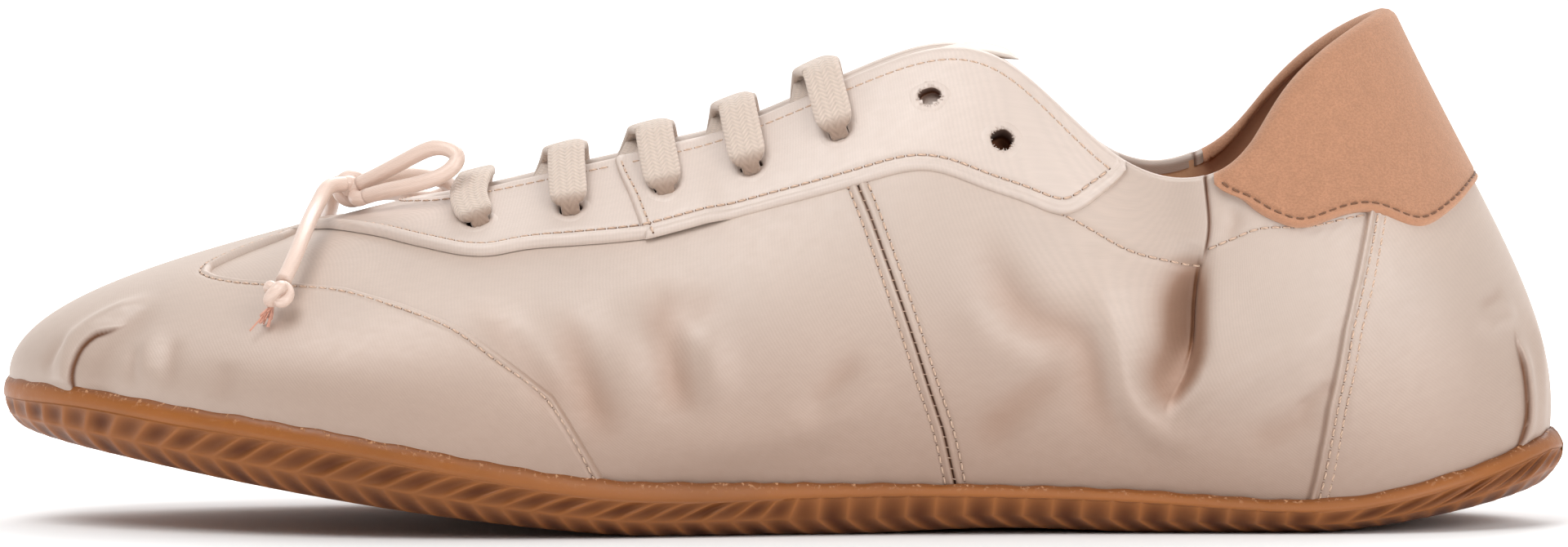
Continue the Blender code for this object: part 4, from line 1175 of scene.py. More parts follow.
def sole_side():
    """The whole outsole: seat, lip, smooth band, ribbed side rolled under, flat bottom.

    The lip stands out from the feather line by SOLE_LIP, and below it the band swells out to
    the bulge. The ribbed side is part of an ellipse that rolls in under the shoe:
    (inset + bulge) cos a - inset outwards, sin a of the height down. Columns follow the ribs.
    The hollows between them are rib_depth deep, times rib_depth_down and rib_depth_across.
    """
    pitch, depth = sizes().rib_pitch / MM, sizes().rib_depth / MM
    per_rib = 10
    count = 2 * round(GIRTH / pitch / 2) * per_rib
    along = np.arange(count) / count
    lateral = np.where(along < 0.5, 1.0, -1.0)
    to_heel = 1 - np.abs(2 * along - 1)
    bulge = 1.7 + 1.1 * to_heel**2
    end_share = np.clip(1 - np.minimum(to_heel, 1 - to_heel) / 0.12, 0, 1)
    inset = 5.0 - 2.5 * end_share
    x_here = ribs_at(along)[:, 0]
    band = np.interp(x_here, *SOLE_BAND.T)
    hollow_at = rib_depth_across(count, per_rib)
    rows, hollows, glues = [], [], []

    def plan_at(offset, share):
        return foot_ring(along + lateral * rib_shift(x_here, share) / GIRTH, offset)

    def add(plan, level, hollow=0.0, glue=0.0):
        rows.append(np.column_stack([plan, level]))
        hollows.append(np.broadcast_to(hollow, count))
        glues.append(np.broadcast_to(glue, count))

    def add_upper(offset, drop, hollow=0.0, glue=0.0):
        plan = plan_at(offset, 0.0)
        add(plan, feather_height(plan[:, 0]) - drop, hollow, glue)

    seat = plan_at(0.35, 0.0)
    add(seat, cup_floor(seat[:, 0]))
    add_upper(0.35, 0.5, glue=1.0)
    wobble = 0.16 * np.sin(along * 2 * math.pi * 87) + 0.12 * np.sin(along * 2 * math.pi * 41)
    for offset, drop in LIP_ROWS:
        add_upper(offset, drop + wobble * 0.5, glue=1.0)
    edge = bulge + 0.15
    for share, glue in BAND_ROWS:
        swell = 0.22 * math.sin(math.pi * share)
        add_upper(SOLE_LIP + (edge - SOLE_LIP) * share + swell, band * share, glue=glue)
    # the hollow mark is painted shade: a little at the foot of the band, then in the ribs by
    # their depth
    add_upper(edge - 0.2, band, hollow=0.25)
    for share in (*np.linspace(0.0, ARM_MEET, 15), *np.linspace(ARM_MEET, 1.0, 20)[1:]):
        turn = math.radians(88.0 * share**1.12)
        cut = depth * hollow_at * rib_depth_down(x_here, share)
        plan = plan_at((inset + bulge) * math.cos(turn) - inset - cut, share)
        foot = feather_height(plan[:, 0]) - band
        fall = (foot - sole_underside(plan[:, 0])) * math.sin(turn)
        add(plan, foot - fall, hollow=cut / depth)
    last = rows[-1]
    # painted shade on the underside
    for share in BOTTOM_ROWS:
        plan = last[:, :2] * (1, 1 - share)
        add(plan, sole_underside(plan[:, 0]), hollow=0.3)
    # the rows run downwards here, so the faces are turned
    uv = uv_pairs(np.arange(count + 1) * pitch / per_rib * MM,
                  np.arange(len(rows))[:, None] * 0.6 * MM)
    return Patch(np.array(rows), uv, closed=True, flip=True, hollow=np.array(hollows),
                 glue=np.array(glues))


def insole_bed():
    """The sock in the shoe: rings that shrink to the middle line, dished by the foot."""
    columns = 240
    plan = foot_ring(np.arange(columns) / columns, -INSOLE_INSET)
    rows = []
    for share in (0.0, 0.0, 0.04, 0.12, 0.25, 0.45, 0.65, 0.85, 1.0):
        spot = plan * (1, 1 - share)
        dish = INSOLE_THICK + GAP - 0.9 * smooth(share, 0.0, 0.4)
        rows.append(np.column_stack([spot, cup_floor(plan[:, 0]) + dish]))
    rows[0][:, 2] = cup_floor(plan[:, 0]) + GAP
    return Patch(np.array(rows), np.zeros((len(rows), columns + 1, 2)), closed=True)


# -------- satin upper
def quarter_columns(up):
    """Values of around on the lateral half, following the seams and the sharp folds."""
    edges = [np.zeros_like(up)]
    for line in (TOE_PLEAT, WAIST_SEAM, COLLAR_FOLD, COUNTER_SEAM, HEEL_PLEAT):
        edges.append(np.interp(up, line[:, 1], line[:, 0]))
    edges.append(np.full_like(up, 0.5))
    edges = np.array(edges)
    middle = edges[:, len(up) // 2] * GIRTH
    columns = []
    step = sizes().mesh_step / MM
    # the satin in front of the toe pleat is hidden, and the vamp has no fine seams
    coarseness = (5.0, 1.4, 1.0, 1.0, 1.0, 1.2)
    for start, end, long, coarser in zip(edges, edges[1:], np.diff(middle), coarseness):
        share = spaced(long, 0.13 * coarser, step * coarser)[:-1, None]
        columns.append(start * (1 - share) + end * share)
    columns.append(edges[-1:])
    return np.concatenate(columns).T


def past_seam(line, around, up):
    """Millimetres from a seam up the quarter, positive towards the heel."""
    seam = np.interp(up, line[:, 1], line[:, 0])
    return (cloth_uv(around, up)[..., 0] - cloth_uv(seam, up)[..., 0]) / MM


def seam_shade(around, up):
    """Painted shade in the waist's open groove and under the counter's turned edge."""
    lateral, up = np.minimum(around, 1 - around), np.clip(up, 0, 1)
    groove = bell(past_seam(WAIST_SEAM, lateral, up), 0.0, 0.13)
    return groove + 0.4 * bell(past_seam(COUNTER_SEAM, lateral, up), -0.25, 0.3)


def seam_lift(around, up):
    """Heights of the seams over the folds: the counter's step with its rolled edge and two
    stitch rows, the waist's groove between raised allowances, and the collar's stitching."""
    lateral = np.minimum(around, 1 - around)
    height = np.clip(up, 0, 1)
    behind = past_seam(COUNTER_SEAM, lateral, height)
    lift = COUNTER_STEP * smooth(behind, -0.1, 0.35) + 0.30 * bell(behind, 0.55, 0.5)
    lift -= 0.28 * bell(behind, 1.6, 0.32) + 0.24 * bell(behind, 2.9, 0.32)
    lift += 0.12 * bell(behind, 2.25, 0.4)
    off = past_seam(WAIST_SEAM, lateral, height)
    lift += 0.26 * bell(np.abs(off), 0.72, 0.5) - 0.7 * bell(off, 0.0, 0.15)
    lift -= 0.14 * bell(np.abs(off), 1.6, 0.3)
    flat = surface(around, height)
    for table in COLLAR_STITCHES:
        line = resampled(table, 17)
        for side in (line, mirrored(line)):
            gap, _ = nearest_on(flat, surface(*side.T))
            lift = lift - 0.24 * bell(gap, 0.0, 0.5)
    return lift


def satin_upper():
    """Vamp, quarters and counter as one skin, turned in over the edge of the opening and drawn
    in where the heel tab covers that edge."""
    up = np.concatenate([[-0.05, -0.02], np.linspace(0, 1, 86)])
    past = np.concatenate([np.zeros(len(up)), WRAP_STEPS])
    up = np.concatenate([up, np.ones(len(WRAP_STEPS))])
    half = quarter_columns(np.clip(up, 0, 1))
    around = np.concatenate([half, 1 - half[:, -2:0:-1]], axis=1)
    up, past = (np.broadcast_to(value[:, None], around.shape) for value in (up, past))
    tucked = smooth(np.minimum(around, 1 - around), 0.394, 0.398) * smooth(up, 0.92, 1.0)
    lift = seam_lift(around, up) * (1 - tucked) - 0.4 * tucked
    points = shell(around, up, past, lift)
    wide = once_more(around, 1.0)
    keep = holes(once_more(points), wide, eyelet_radius(1.0))
    flat = surface(around, np.clip(up, 0, 1))
    # painted shade marks: at the foot of sharp folds, in the waist's groove and under the
    # counter's edge, and in the fold valleys and low on the sides
    dark = np.maximum(painted_shade(around, flat), seam_shade(around, up))
    return Patch(points, cloth_uv(wide, once_more(up), once_more(past)), closed=True, keep=keep,
                 painted_shade=dark, dip=dip(around, np.clip(up, 0, 1), flat))


def lining():
    """The inside of the upper, a wall's thickness in, from under the turned edge down."""
    rows, columns = 40, 320
    up = np.linspace(-0.02, 0.995, rows)[:, None]
    around = np.broadcast_to(np.arange(columns) / columns, (rows, columns))
    points = shell(around, up, 0.0, -(WALL - 0.12))
    wide = once_more(around, 1.0)
    keep = holes(once_more(points), wide, eyelet_radius(1.2))
    collar = smooth(np.minimum(around, 1 - around), 0.385, 0.395) * smooth(up, 0.5, 0.55)
    return Patch(points, cloth_uv(wide, up), closed=True, flip=True, keep=keep, collar=collar)


# -------- toe piece, stays and tab
def toe_piece():
    """Toe cap and centre strip in one T, a column for each value of around."""
    # the columns stand closest where the outline bends
    bends = np.array((0.0, 0.0135, 0.0165, 0.041, 0.052, 0.180, 0.205))
    steps = (6, 14, 70, 60, 140, 50)
    half = np.concatenate([np.linspace(*pair, count, endpoint=False)
                           for pair, count in zip(zip(bends, bends[1:]), steps)] + [[0.205]])
    edge = np.interp(half, TOE_EDGE[:, 0], TOE_EDGE[:, 1])
    # the end of the centre strip lies on under the front stay
    edge = np.where(half < 0.0150, 0.845, edge)
    kernel = np.array((1.0, 2.0, 3.0, 2.0, 1.0)) / 9
    edge[40:-40] = np.convolve(edge, kernel, "same")[40:-40]
    top = both_sides(np.column_stack([half, edge]))
    outline = surface(*top.T)
    span = np.linalg.norm(outline - surface(top[:, 0], 0.0), axis=-1) + 0.01
    ladder = np.linspace(1, 0, len(EDGE_STEPS))[:, None]
    near = np.minimum(EDGE_STEPS[::-1, None], 0.4 * span * ladder)
    rest = np.linspace(0, 1, 52, endpoint=False)[:, None]
    share = np.vstack([rest * (1 - near[0] / span), 1 - near / span])
    around = np.broadcast_to(top[:, 0], share.shape)
    up = share * top[:, 1]
    flat = surface(around, up)
    gap = nearest_on(flat, outline)[0]
    up = up - 0.03 * (1 - smooth(share, 0.0, 0.02))
    points = shell(around, up, 0.0, turned_edge(gap, OVERLAY + 0.2))
    # painted shade marks: at the foot of the toe pleat and in the valleys of the folds
    return Patch(points, cloth_uv(around, up), painted_shade=painted_shade(around, flat),
                 dip=dip(around, np.clip(up, 0, 1), flat))


def front_stay():
    """The U-shaped eyestay with its piped lower edge."""
    half = resampled(FRONT_STAY, 150)
    foot = both_sides(half[:, :2])
    top = both_sides(opening_line(half[:, 2]))

    def height(foot_gap, *_):
        return piped_edge(foot_gap, OVERLAY)

    return overlay(foot, top, PANEL_ROWS, height, hole=eyelet_radius(0.35))


def rear_stay_outlines():
    """The lower and the upper outline of the lateral rear stay, with a column for each row."""
    length, step = 96.0, 0.75
    shares = column_shares(length, step)
    table = spline(np.linspace(0, 1, len(REAR_STAY)), REAR_STAY, shares)
    return table[:, :2], opening_line(table[:, 2])


def overlap(gap):
    """What the rear stay adds where it climbs over the front one, by the distance to its own
    front edge."""
    return OVERLAP * (1 - smooth(gap, 10.0, 16.0))


def stay_lift(around, up):
    """How proud the stays lie at a lateral place."""
    foot, top = rear_stay_outlines()
    front = np.linspace(foot[0], top[0], 12)
    gap, _ = nearest_on(surface(around, up), surface(*front.T))
    return OVERLAY + np.where(around > 0.2, overlap(gap), 0.0)


def rear_stay(medial=False):
    """A side eyestay, over the front one, with a folded front edge and a rolled lower one."""
    foot, top = rear_stay_outlines()
    if medial:
        foot, top = other_side(foot), other_side(top)

    def height(foot_gap, *free):
        front = free[1] if medial else free[0]
        low = turned_edge(foot_gap, OVERLAY) - 0.2 * bell(foot_gap, 2.5, 0.35)
        return np.minimum(low, turned_edge(front, OVERLAY)) + overlap(front)

    ends = (False, True) if medial else (True, False)
    return overlay(foot, top, PANEL_ROWS, height, ends, hole=eyelet_radius(0.35))


ON_TONGUE, BEHIND_LACE = -1.6, -3.4   # heights of the ground of an eyelet over the skin


def eyelet_rim(side, up, lift, depth):
    """A punched hole: rings round it that lie on the stay, turn in and close at depth."""
    radius = eyelet_radius()
    rings = np.array((
        # radius, height
        (radius + 1.50, lift - 0.06), (radius + 1.3, lift + 0.02), (radius + 0.5, lift + 0.03),
        (radius + 0.18, lift + 0.02), (radius, lift - 0.08), (radius - 0.1, lift - 0.4),
        (radius - 0.1, depth / 2), (radius, depth + 0.1), (radius - 0.3, depth),
        (radius / 2, depth), (0.01, depth),
    ))
    turn = full_turn(36)
    _, normal, rise = skin_frame(side, up)
    across = np.cross(rise, normal)
    uneven = 1 + 0.04 * np.sin(3 * turn) + 0.03 * np.sin(5 * turn + 1)
    reach = rings[:, :1] * uneven
    move = across * (np.cos(turn) * reach)[..., None] + rise * (np.sin(turn) * reach)[..., None]
    step_around, step_up = steps_on_skin(side, up, move)
    spots, heights = side + step_around, up + step_up
    points = shell(spots, heights, 0.0, rings[:, 1:])
    # painted shade on the hole's inner wall, darkest on its upper side; behind a lace the inner
    # wall and ground are painted fully dark
    shaded = 0.35 + 0.65 * smooth(np.sin(turn - 0.5), -0.5, 0.4)
    deep = np.array((0, 0, 0, 0, 0.1, 0.75, 1, 1, 0.7, 0.1, 0))[:, None] * shaded
    if depth == BEHIND_LACE:
        deep = np.maximum(deep, np.arange(len(rings))[:, None] > 5)
    return Patch(points, cloth_uv(once_more(spots), once_more(heights)), closed=True,
                 painted_shade=deep)


def frayed_threads(side, up, lift, seed):
    """Cut satin threads standing out round an open eyelet."""
    random = np.random.default_rng(seed)
    count = 26
    _, normal, rise = skin_frame(side, up)
    base = shell(side, up, 0.0, lift)
    across = np.cross(rise, normal)
    threads = []
    for turn in full_turn(count) + random.normal(0, 0.12, count):
        way = across * math.cos(turn) + rise * math.sin(turn)
        start = eyelet_radius() * random.uniform(0.82, 0.98)
        t = np.linspace(0, 1, 4)[:, None]
        long = random.uniform(0.2, 0.65)
        path = base + way * (start + long * t) + normal * (0.07 + 0.10 * np.sin(3.1 * t))
        points, _, round_way = carried(path, np.cross(way, normal) + 0 * path, 0.055, 0.04, 4,
                                       1.0)
        uv = uv_pairs(round_way * 1e-4, t * 1e-3)
        threads.append(Patch(points, uv, closed=True, flip=True))
    return threads


def eyelets():
    """Every eyelet: the laced ones are painted dark with shade behind the lace, and so is the
    last open one, off the tongue. The first open one shows the tongue."""
    rims = []
    for row, (around, up) in enumerate(EYELETS):
        lift = float(stay_lift(around, up))
        depth = ON_TONGUE if row == LACED_ROWS else BEHIND_LACE
        for side in (around, 1 - around):
            rims.append(eyelet_rim(side, up, lift, depth))
            if row >= LACED_ROWS:
                rims += frayed_threads(side, up, lift, row)
    return rims


def heel_tab_outline():
    """The lower edge of the heel tab, from its lateral to its medial front corner."""
    length, step = 68.0, 0.6
    shares = column_shares(length, step)
    keys = run_length(surface(*HEEL_TAB.T))
    half = spline(keys / keys[-1], HEEL_TAB, shares)
    return np.vstack([half, other_side(half)[1:]])


def heel_tab():
    """Suede tab over the counter, rolled along its whole lower edge."""
    foot = heel_tab_outline()
    top = opening_line(foot[:, 0])

    def height(foot_gap, *_):
        share = np.clip(foot_gap, 0, 1)
        edge = TAB_LIFT * np.sqrt(1 - (1 - share) ** 2) * (foot_gap > 0.02)
        return edge + 0.15 * bell(foot_gap, 0.6, 0.4) - 0.3 * bell(foot_gap, 1.5, 0.3)

    return overlay(foot, top, 40, height)


# -------- tongue
def tongue_strip():
    """A lined strip under the stays that narrows and stands up past the instep.

    Its section is a super-ellipse 2 mm thick. free and tip run from 0 to 1 over its free part
    and over its rounded end, and it rises with the square of free.
    """
    start, end = TONGUE_ENDS
    along = np.linspace(start, end, 100)[:, None]
    free = np.clip((along - TONGUE_FREE) / (end - TONGUE_FREE), 0, 1)
    tip = np.clip((along - end + TONGUE_TIP) / TONGUE_TIP, 0, 1)
    half_width = (0.86 - 0.36 * np.clip(free / 0.4, 0, 1)) * np.sqrt(1 - 0.45 * tip**2)
    turn = full_turn(72)
    across = half_width * signed_power(np.cos(turn), 0.6)
    rise = signed_power(np.sin(turn), 0.6)
    middle, half = (start + end) / 2, (end - start) / 2
    ends = np.sqrt(np.clip(1 - ((along - middle) / half) ** 40, 0, 1))
    lift = rise * ends + 4.5 * free**2 - TONGUE_DEPTH
    points, _ = throat_bridge(along, across, lift)
    uv = uv_pairs(np.linspace(0, 0.08, len(turn) + 1), along * 0.5)
    return Patch(points, uv, closed=True)


# -------- stitches
def stitches(line, lift, pitch=None, slant=0.0, long=0.88):
    """A run of stitches: each a thread whose ends go down into needle holes, with painted shade
    on those ends.

    Its middle line lies at lift + 0.08 - 0.24 t^6, with t from -1 to 1 along it. lift is a
    number, or a function of around and up. long is its share of the pitch, slant moves its
    two ends apart across the run.
    """
    pitch = pitch or sizes().stitch_length / MM
    radius = sizes().thread / MM / 2
    fine = resampled(line, 12 * len(line))
    path = shell(fine[:, 0], fine[:, 1], 0.0, lift(*fine.T) if callable(lift) else lift)
    run = run_length(path)
    count = int(run[-1] / pitch)
    middle = (np.arange(count) + 0.5) * run[-1] / count
    t = np.array((-1.0, -0.97, -0.82, -0.76, -0.35, 0.35, 0.76, 0.82, 0.97, 1.0))
    spots = middle[:, None] + t * pitch * long / 2
    centre = np.stack([np.interp(spots, run, path[:, i]) for i in range(3)], axis=-1)
    flat = np.column_stack([np.interp(middle, run, fine[:, i]) for i in range(2)])
    _, normal, _ = skin_frame(flat[:, 0], flat[:, 1])
    way = unit(centre[:, -1] - centre[:, 0])
    side = unit(np.cross(normal, way))
    normal = np.cross(way, side)[:, None]
    side = side[:, None]
    centre = centre + side * (t * slant)[None, :, None]
    centre = centre + normal * (0.08 - 0.24 * t**6)[None, :, None]
    girth = radius * np.array((0, 0.9, 1, 0.85, 1, 1, 0.85, 1, 0.9, 0))[None, :, None, None]
    turn = full_turn(5)
    round_way = normal[..., None, :] * np.sin(turn)[:, None]
    round_way = round_way + side[..., None, :] * np.cos(turn)[:, None]
    points = centre[:, :, None] + round_way * girth
    points = points.reshape(-1, len(turn), 3)
    keep = np.ones((len(points) - 1, len(turn)), bool)
    keep[len(t) - 1::len(t)] = False
    uv = uv_pairs(np.linspace(0, 1, len(turn) + 1), np.arange(len(points))[:, None] * 0.3)
    # painted shade on both ends of each stitch
    deep = np.tile(smooth(np.abs(t), 0.75, 0.83), count)[:, None]
    return Patch(points, uv, closed=True, flip=True, keep=keep, deep=deep)


def mirrored_runs(line, lift, **how):
    """The same run on both sides of the shoe."""
    line = np.asarray(line, float)
    return [stitches(side, lift, **how) for side in (line, mirrored(line))]


def front_stitches():
    """The tan rows of the toe piece and the stays."""
    runs = []
    edge = np.array([row for row in TOE_EDGE if row[0] > 0.015])
    runs += mirrored_runs(offset_line(resampled(edge, 60), 1.45), OVERLAY + 0.04)
    half = resampled(FRONT_STAY, 60)
    low = offset_line(both_sides(half[:, :2]), -2.75)
    runs.append(stitches(low, OVERLAY - 0.2))
    rim = half[half[:, 2] < 0.190]
    upper = both_sides(opening_line(rim[:, 2]))
    runs.append(stitches(offset_line(upper, 1.5), OVERLAY - 0.05))
    foot, top = (resampled(outline[::6], 50) for outline in rear_stay_outlines())

    def on_stay(around, up):
        return stay_lift(np.minimum(around, 1 - around), up) - 0.08

    runs += mirrored_runs(offset_line(foot[:-1], -2.5), on_stay)
    runs += mirrored_runs(offset_line(top[:-2], 1.7), on_stay)
    front = np.column_stack([np.linspace(foot[0, 0], top[0, 0], 20),
                             np.linspace(foot[0, 1], 0.99, 20)])
    runs += mirrored_runs(offset_line(front, 1.45), OVERLAY + OVERLAP - 0.12)
    return runs


def rear_stitches():
    """The tan rows of the seams up the quarter and under the collar."""
    runs = []
    seam = WAIST_SEAM[:7]
    for away in (-1.6, 1.6):
        runs += mirrored_runs(offset_line(resampled(seam, 40), away), 0.0)
    runs += mirrored_runs(resampled(seam, 40), -0.12, slant=0.75, long=0.3)
    counter = COUNTER_SEAM[:8]
    for away in (1.6, 2.9):
        runs += mirrored_runs(offset_line(resampled(counter, 40), away), COUNTER_STEP - 0.14)
    runs += mirrored_runs(COLLAR_STITCHES[0], -0.16)
    runs += mirrored_runs(COLLAR_STITCHES[1], -0.16)
    return runs


def tab_stitches():
    """The dark brown row round the heel tab."""
    foot = resampled(heel_tab_outline()[::5], 90)
    return stitches(offset_line(foot, -1.35), TAB_LIFT - 0.2, 1.9, long=0.72)


# -------- laces and bow
def carried(path, side, half_width, half_thick, count=18, flatness=0.55, closed=False):
    """A super-ellipse section, |x/a|^(2/f) + |y/b|^(2/f) = 1, carried along a path."""
    way = unit(np.gradient(path, axis=0))
    if closed:
        way = unit(np.roll(path, -1, axis=0) - np.roll(path, 1, axis=0))
    side = unit(side - way * (side * way).sum(-1, keepdims=True))
    face = np.cross(way, side)
    turn = np.linspace(0, 2 * math.pi, count + 1)
    x = signed_power(np.cos(turn), flatness)
    y = signed_power(np.sin(turn), flatness)
    half_width = np.broadcast_to(half_width, len(path))[:, None]
    half_thick = np.broadcast_to(half_thick, len(path))[:, None]
    points = path[:, None] + side[:, None] * (x * half_width)[..., None]
    points = points + face[:, None] * (y * half_thick)[..., None]
    return points[:, :-1], x * half_width, turn


def twice_at_ends(values):
    """Values along a path, the first and the last one twice."""
    return np.concatenate([values[:1], values, values[-1:]])


def capped(path, points):
    """The rings of a tube, with one more at each end that is drawn in to the path."""
    rings = twice_at_ends(points)
    rings[0], rings[-1] = path[0], path[-1]
    return rings


def ribbon(path, side, half_width, deep):
    """The flat lace along a path, its ends closed, with painted shade where it bunches."""
    points, across, _ = carried(path, side, half_width, sizes().lace_thick / MM / 2)
    length = twice_at_ends(run_length(path))
    uv = uv_pairs(twice_at_ends(across), length[:, None]) * MM
    return Patch(capped(path, points), uv, closed=True, flip=True,
                 deep=twice_at_ends(deep)[:, None])


def lace_over(start, end, raised=0.0, both=False, toeward=0.0):
    """One lace from under one edge of the throat over the other and down its eyelet.

    start and end are (around, across, lift) on the bridge. raised arches its middle up and
    toeward bends it towards the toe. both says that it ends in an eyelet at both ends. At an
    eyelet it turns down through a quarter circle and gathers to the width of the hole, and
    painted shade darkens it on the way in.
    """
    t = np.linspace(0, 1, 60)
    start, end = np.array(start), np.array(end)
    spots = start + (end - start) * t[:, None]
    spots[:, 0] -= toeward * np.sin(math.pi * t)
    lift = start[2] + (end[2] - start[2]) * (t if both else np.clip(t / 0.4, 0, 1))
    lift = lift + raised * 4 * t * (1 - t)
    path, normal = throat_bridge(spots[:, 0], spots[:, 1], lift)
    way = unit(np.gradient(path, axis=0))
    side = np.cross(normal, way)
    theta = np.linspace(0, math.pi / 2, 9)[1:, None]

    def into_hole(point, normal, way):
        turned = point + LACE_BEND * (normal * (np.cos(theta) - 1) + way * np.sin(theta))
        down = turned[-1] - normal * np.linspace(0.4, 3.6, 7)[:, None]
        return np.vstack([turned, down])

    tail = into_hole(path[-1], normal[-1], way[-1])
    sides = [side, np.repeat(side[-1:], len(tail), axis=0)]
    pieces = [path, tail]
    if both:
        head = into_hole(path[0], normal[0], -way[0])[::-1]
        pieces.insert(0, head)
        sides.insert(0, np.repeat(side[:1], len(head), axis=0))
    path, side = np.vstack(pieces), np.vstack(sides)
    run = run_length(path)
    full = sizes().lace_width / MM / 2

    def gathered(left):
        return np.sqrt(1 - (1 - np.clip((left - 4.6) / 3.4, 0, 1)) ** 2)

    from_end = run[-1] - run
    gather = gathered(from_end)
    # painted shade, full over the last 4.4 mm into an eyelet and gone at 7 mm
    deep = 1 - smooth(from_end, 4.4, 7.0)
    if both:
        gather = gather * gathered(run)
        deep = np.maximum(deep, 1 - smooth(run, 4.4, 7.0))
    return ribbon(path, side, LACE_NARROW + (full - LACE_NARROW) * gather, deep)


def laces():
    """A bar at the first eyelets, then a crossing up to each further pair."""
    stations, heights = EYELETS[:LACED_ROWS].T
    reach = 0.5 + (1 - heights) / (2 * BRIDGE_REACH) - 0.012
    over = OVERLAY + sizes().lace_thick / MM / 2 + 0.1
    runs = [[lace_over((stations[0], -reach[0], over), (stations[0], reach[0], over),
                       raised=0.8, both=True, toeward=0.036)]]
    lifted = over + OVERLAP
    behind, out, low = CROSS_START
    for row in range(1, LACED_ROWS):
        start = stations[row - 1] + behind
        first = lace_over((start, -out, low), (stations[row], reach[row], lifted))
        second = lace_over((start, out, low), (stations[row], -reach[row], lifted), raised=1.0)
        runs.append([first, second])
    return runs


def cord_tube(path, radius, closed=False):
    """A round cord along a path, its side carried square to the path all the way."""
    way = np.gradient(path, axis=0)
    if closed:
        way = np.roll(path, -1, axis=0) - np.roll(path, 1, axis=0)
    side = np.cross(way, UP_AXIS + np.array((0.13, 0.07, 0.0)))
    points, _, turn = carried(path, side, radius, radius, 14, 1.0, closed)
    if closed:
        points = np.concatenate([points, points[:1]])
        length = run_length(np.vstack([path, path[:1]]))
    else:
        points = capped(path, points)
        length = twice_at_ends(run_length(path))
    uv = uv_pairs(turn * radius, length[:, None]) * MM
    return Patch(points, uv, closed=True, flip=True)


def end_knot(centre):
    """A trefoil: x, y = (2 + cos 3t) (cos 2t, sin 2t), z = sin 3t, pulled tight."""
    t = full_turn(90)
    spread = 2 + np.cos(3 * t)
    x, y, z = spread * np.cos(2 * t), spread * np.sin(2 * t), 1.5 * np.sin(3 * t)
    path = np.column_stack([x, y, z]) / 3 * np.array((1.7, 1.7, 2.4))
    return cord_tube(path + np.array(centre), 1.0, closed=True)


def bow_knot():
    """Two turns of cord side by side, and under them the cord's way on into every end and loop:
    a curve through the knot's middle and the cord's first or last spot."""
    t = full_turn(60)
    turns = []
    for shift, lean in ((-1.35, 0.35), (1.35, -0.25)):
        path = np.column_stack([2.0 * np.cos(t), shift + lean * np.sin(t), 1.7 * np.sin(t)])
        turns.append(cord_tube(path + np.array(BOW_KNOT_AT), 1.35, closed=True))
    routes = [route for table in (BOW_ENDS, BOW_LOOPS) for route in table.values()]
    routes += [route[::-1] for route in BOW_LOOPS.values()]
    middle = np.array(BOW_KNOT_AT)
    for route in routes:
        spot, onward = np.array(route[0]), np.array(route[1])
        path = np.array((middle + 0.2 * (spot - middle), spot - 0.35 * (onward - spot), spot,
                         spot + 0.12 * (onward - spot)))
        turns.append(cord_tube(resampled(path, 16), CORD_HUG * sizes().cord / MM))
    return turns


def frayed_tip(centre, seed):
    """Loose fibres under an end knot, fanned out from one spot."""
    random = np.random.default_rng(seed)
    fibres = []
    for _ in range(16):
        way = np.array((-0.45, 0.0, -1.0)) + random.normal(0, 0.28, 3)
        t = np.linspace(0, 1, 7)[:, None]
        path = centre + way * 3.1 * t + random.normal(0, 0.35, 3) * t**2
        side = np.cross(way, (1.0, 0.3, 0.1)) + 0 * path
        points, _, turn = carried(path, side, 0.16, 0.16, 4, 1.0)
        uv = uv_pairs(turn * 1e-4, t * 0.003)
        fibres.append(Patch(points, uv, closed=True, flip=True, fray=1.0))
    return fibres


# -------- operators, one for a piece
class SNEAKER_OT_sole(bpy.types.Operator):
    """Ribbed cup sole of gum rubber"""

    bl_idname = "sneaker.sole"
    bl_label = "Sole"

    def execute(self, context):
        build("sole", [sole_side()], gum_rubber(), "gum_rubber", "outsole")
        return {"FINISHED"}


class SNEAKER_OT_inside(bpy.types.Operator):
    """Insole and lining"""

    bl_idname = "sneaker.inside"
    bl_label = "Insole and lining"

    def execute(self, context):
        hide = leather("lining leather", colours().leather)
        build("sock", [insole_bed()], hide, "insole_leather", "insole")
        build("inner_lining", [lining()], hide, "insole_leather")
        return {"FINISHED"}


class SNEAKER_OT_upper(bpy.types.Operator):
    """Satin upper with its folds and seams"""

    bl_idname = "sneaker.upper"
    bl_label = "Satin upper"

    def execute(self, context):
        build("satin_upper", [satin_upper()], satin("satin", colours().satin), "satin",
              "upper")
        return {"FINISHED"}


class SNEAKER_OT_toe(bpy.types.Operator):
    """Toe cap with its centre strip"""

    bl_idname = "sneaker.toe"
    bl_label = "Toe piece"

    def execute(self, context):
        build("toe_piece", [toe_piece()], satin("toe satin", colours().satin), "toe_satin",
              "toe_cap", "vamp_strip")
        return {"FINISHED"}


class SNEAKER_OT_stays(bpy.types.Operator):
    """Eyestays of pale satin"""

    bl_idname = "sneaker.stays"
    bl_label = "Eyestays"

    def execute(self, context):
        pale = satin("stay satin", colours().stay, 0.95)
        build("front_stay", [front_stay()], pale, "stay_satin", "eyestay_front")
        build("stay_lateral", [rear_stay()], pale, "stay_satin", "eyestay_lateral")
        build("stay_medial", [rear_stay(True)], pale, "stay_satin", "eyestay_medial")
        build("eyelets", eyelets(), pale, "stay_satin")
        return {"FINISHED"}


class SNEAKER_OT_tab(bpy.types.Operator):
    """Suede heel tab"""

    bl_idname = "sneaker.tab"
    bl_label = "Heel tab"

    def execute(self, context):
        build("suede_tab", [heel_tab()], suede(), "suede", "heel_tab")
        return {"FINISHED"}


class SNEAKER_OT_tongue(bpy.types.Operator):
    """Satin tongue"""

    bl_idname = "sneaker.tongue"
    bl_label = "Tongue"

    def execute(self, context):
        build("tongue_strip", [tongue_strip()], satin("tongue satin", colours().tongue),
              "tongue_satin", "tongue")
        return {"FINISHED"}


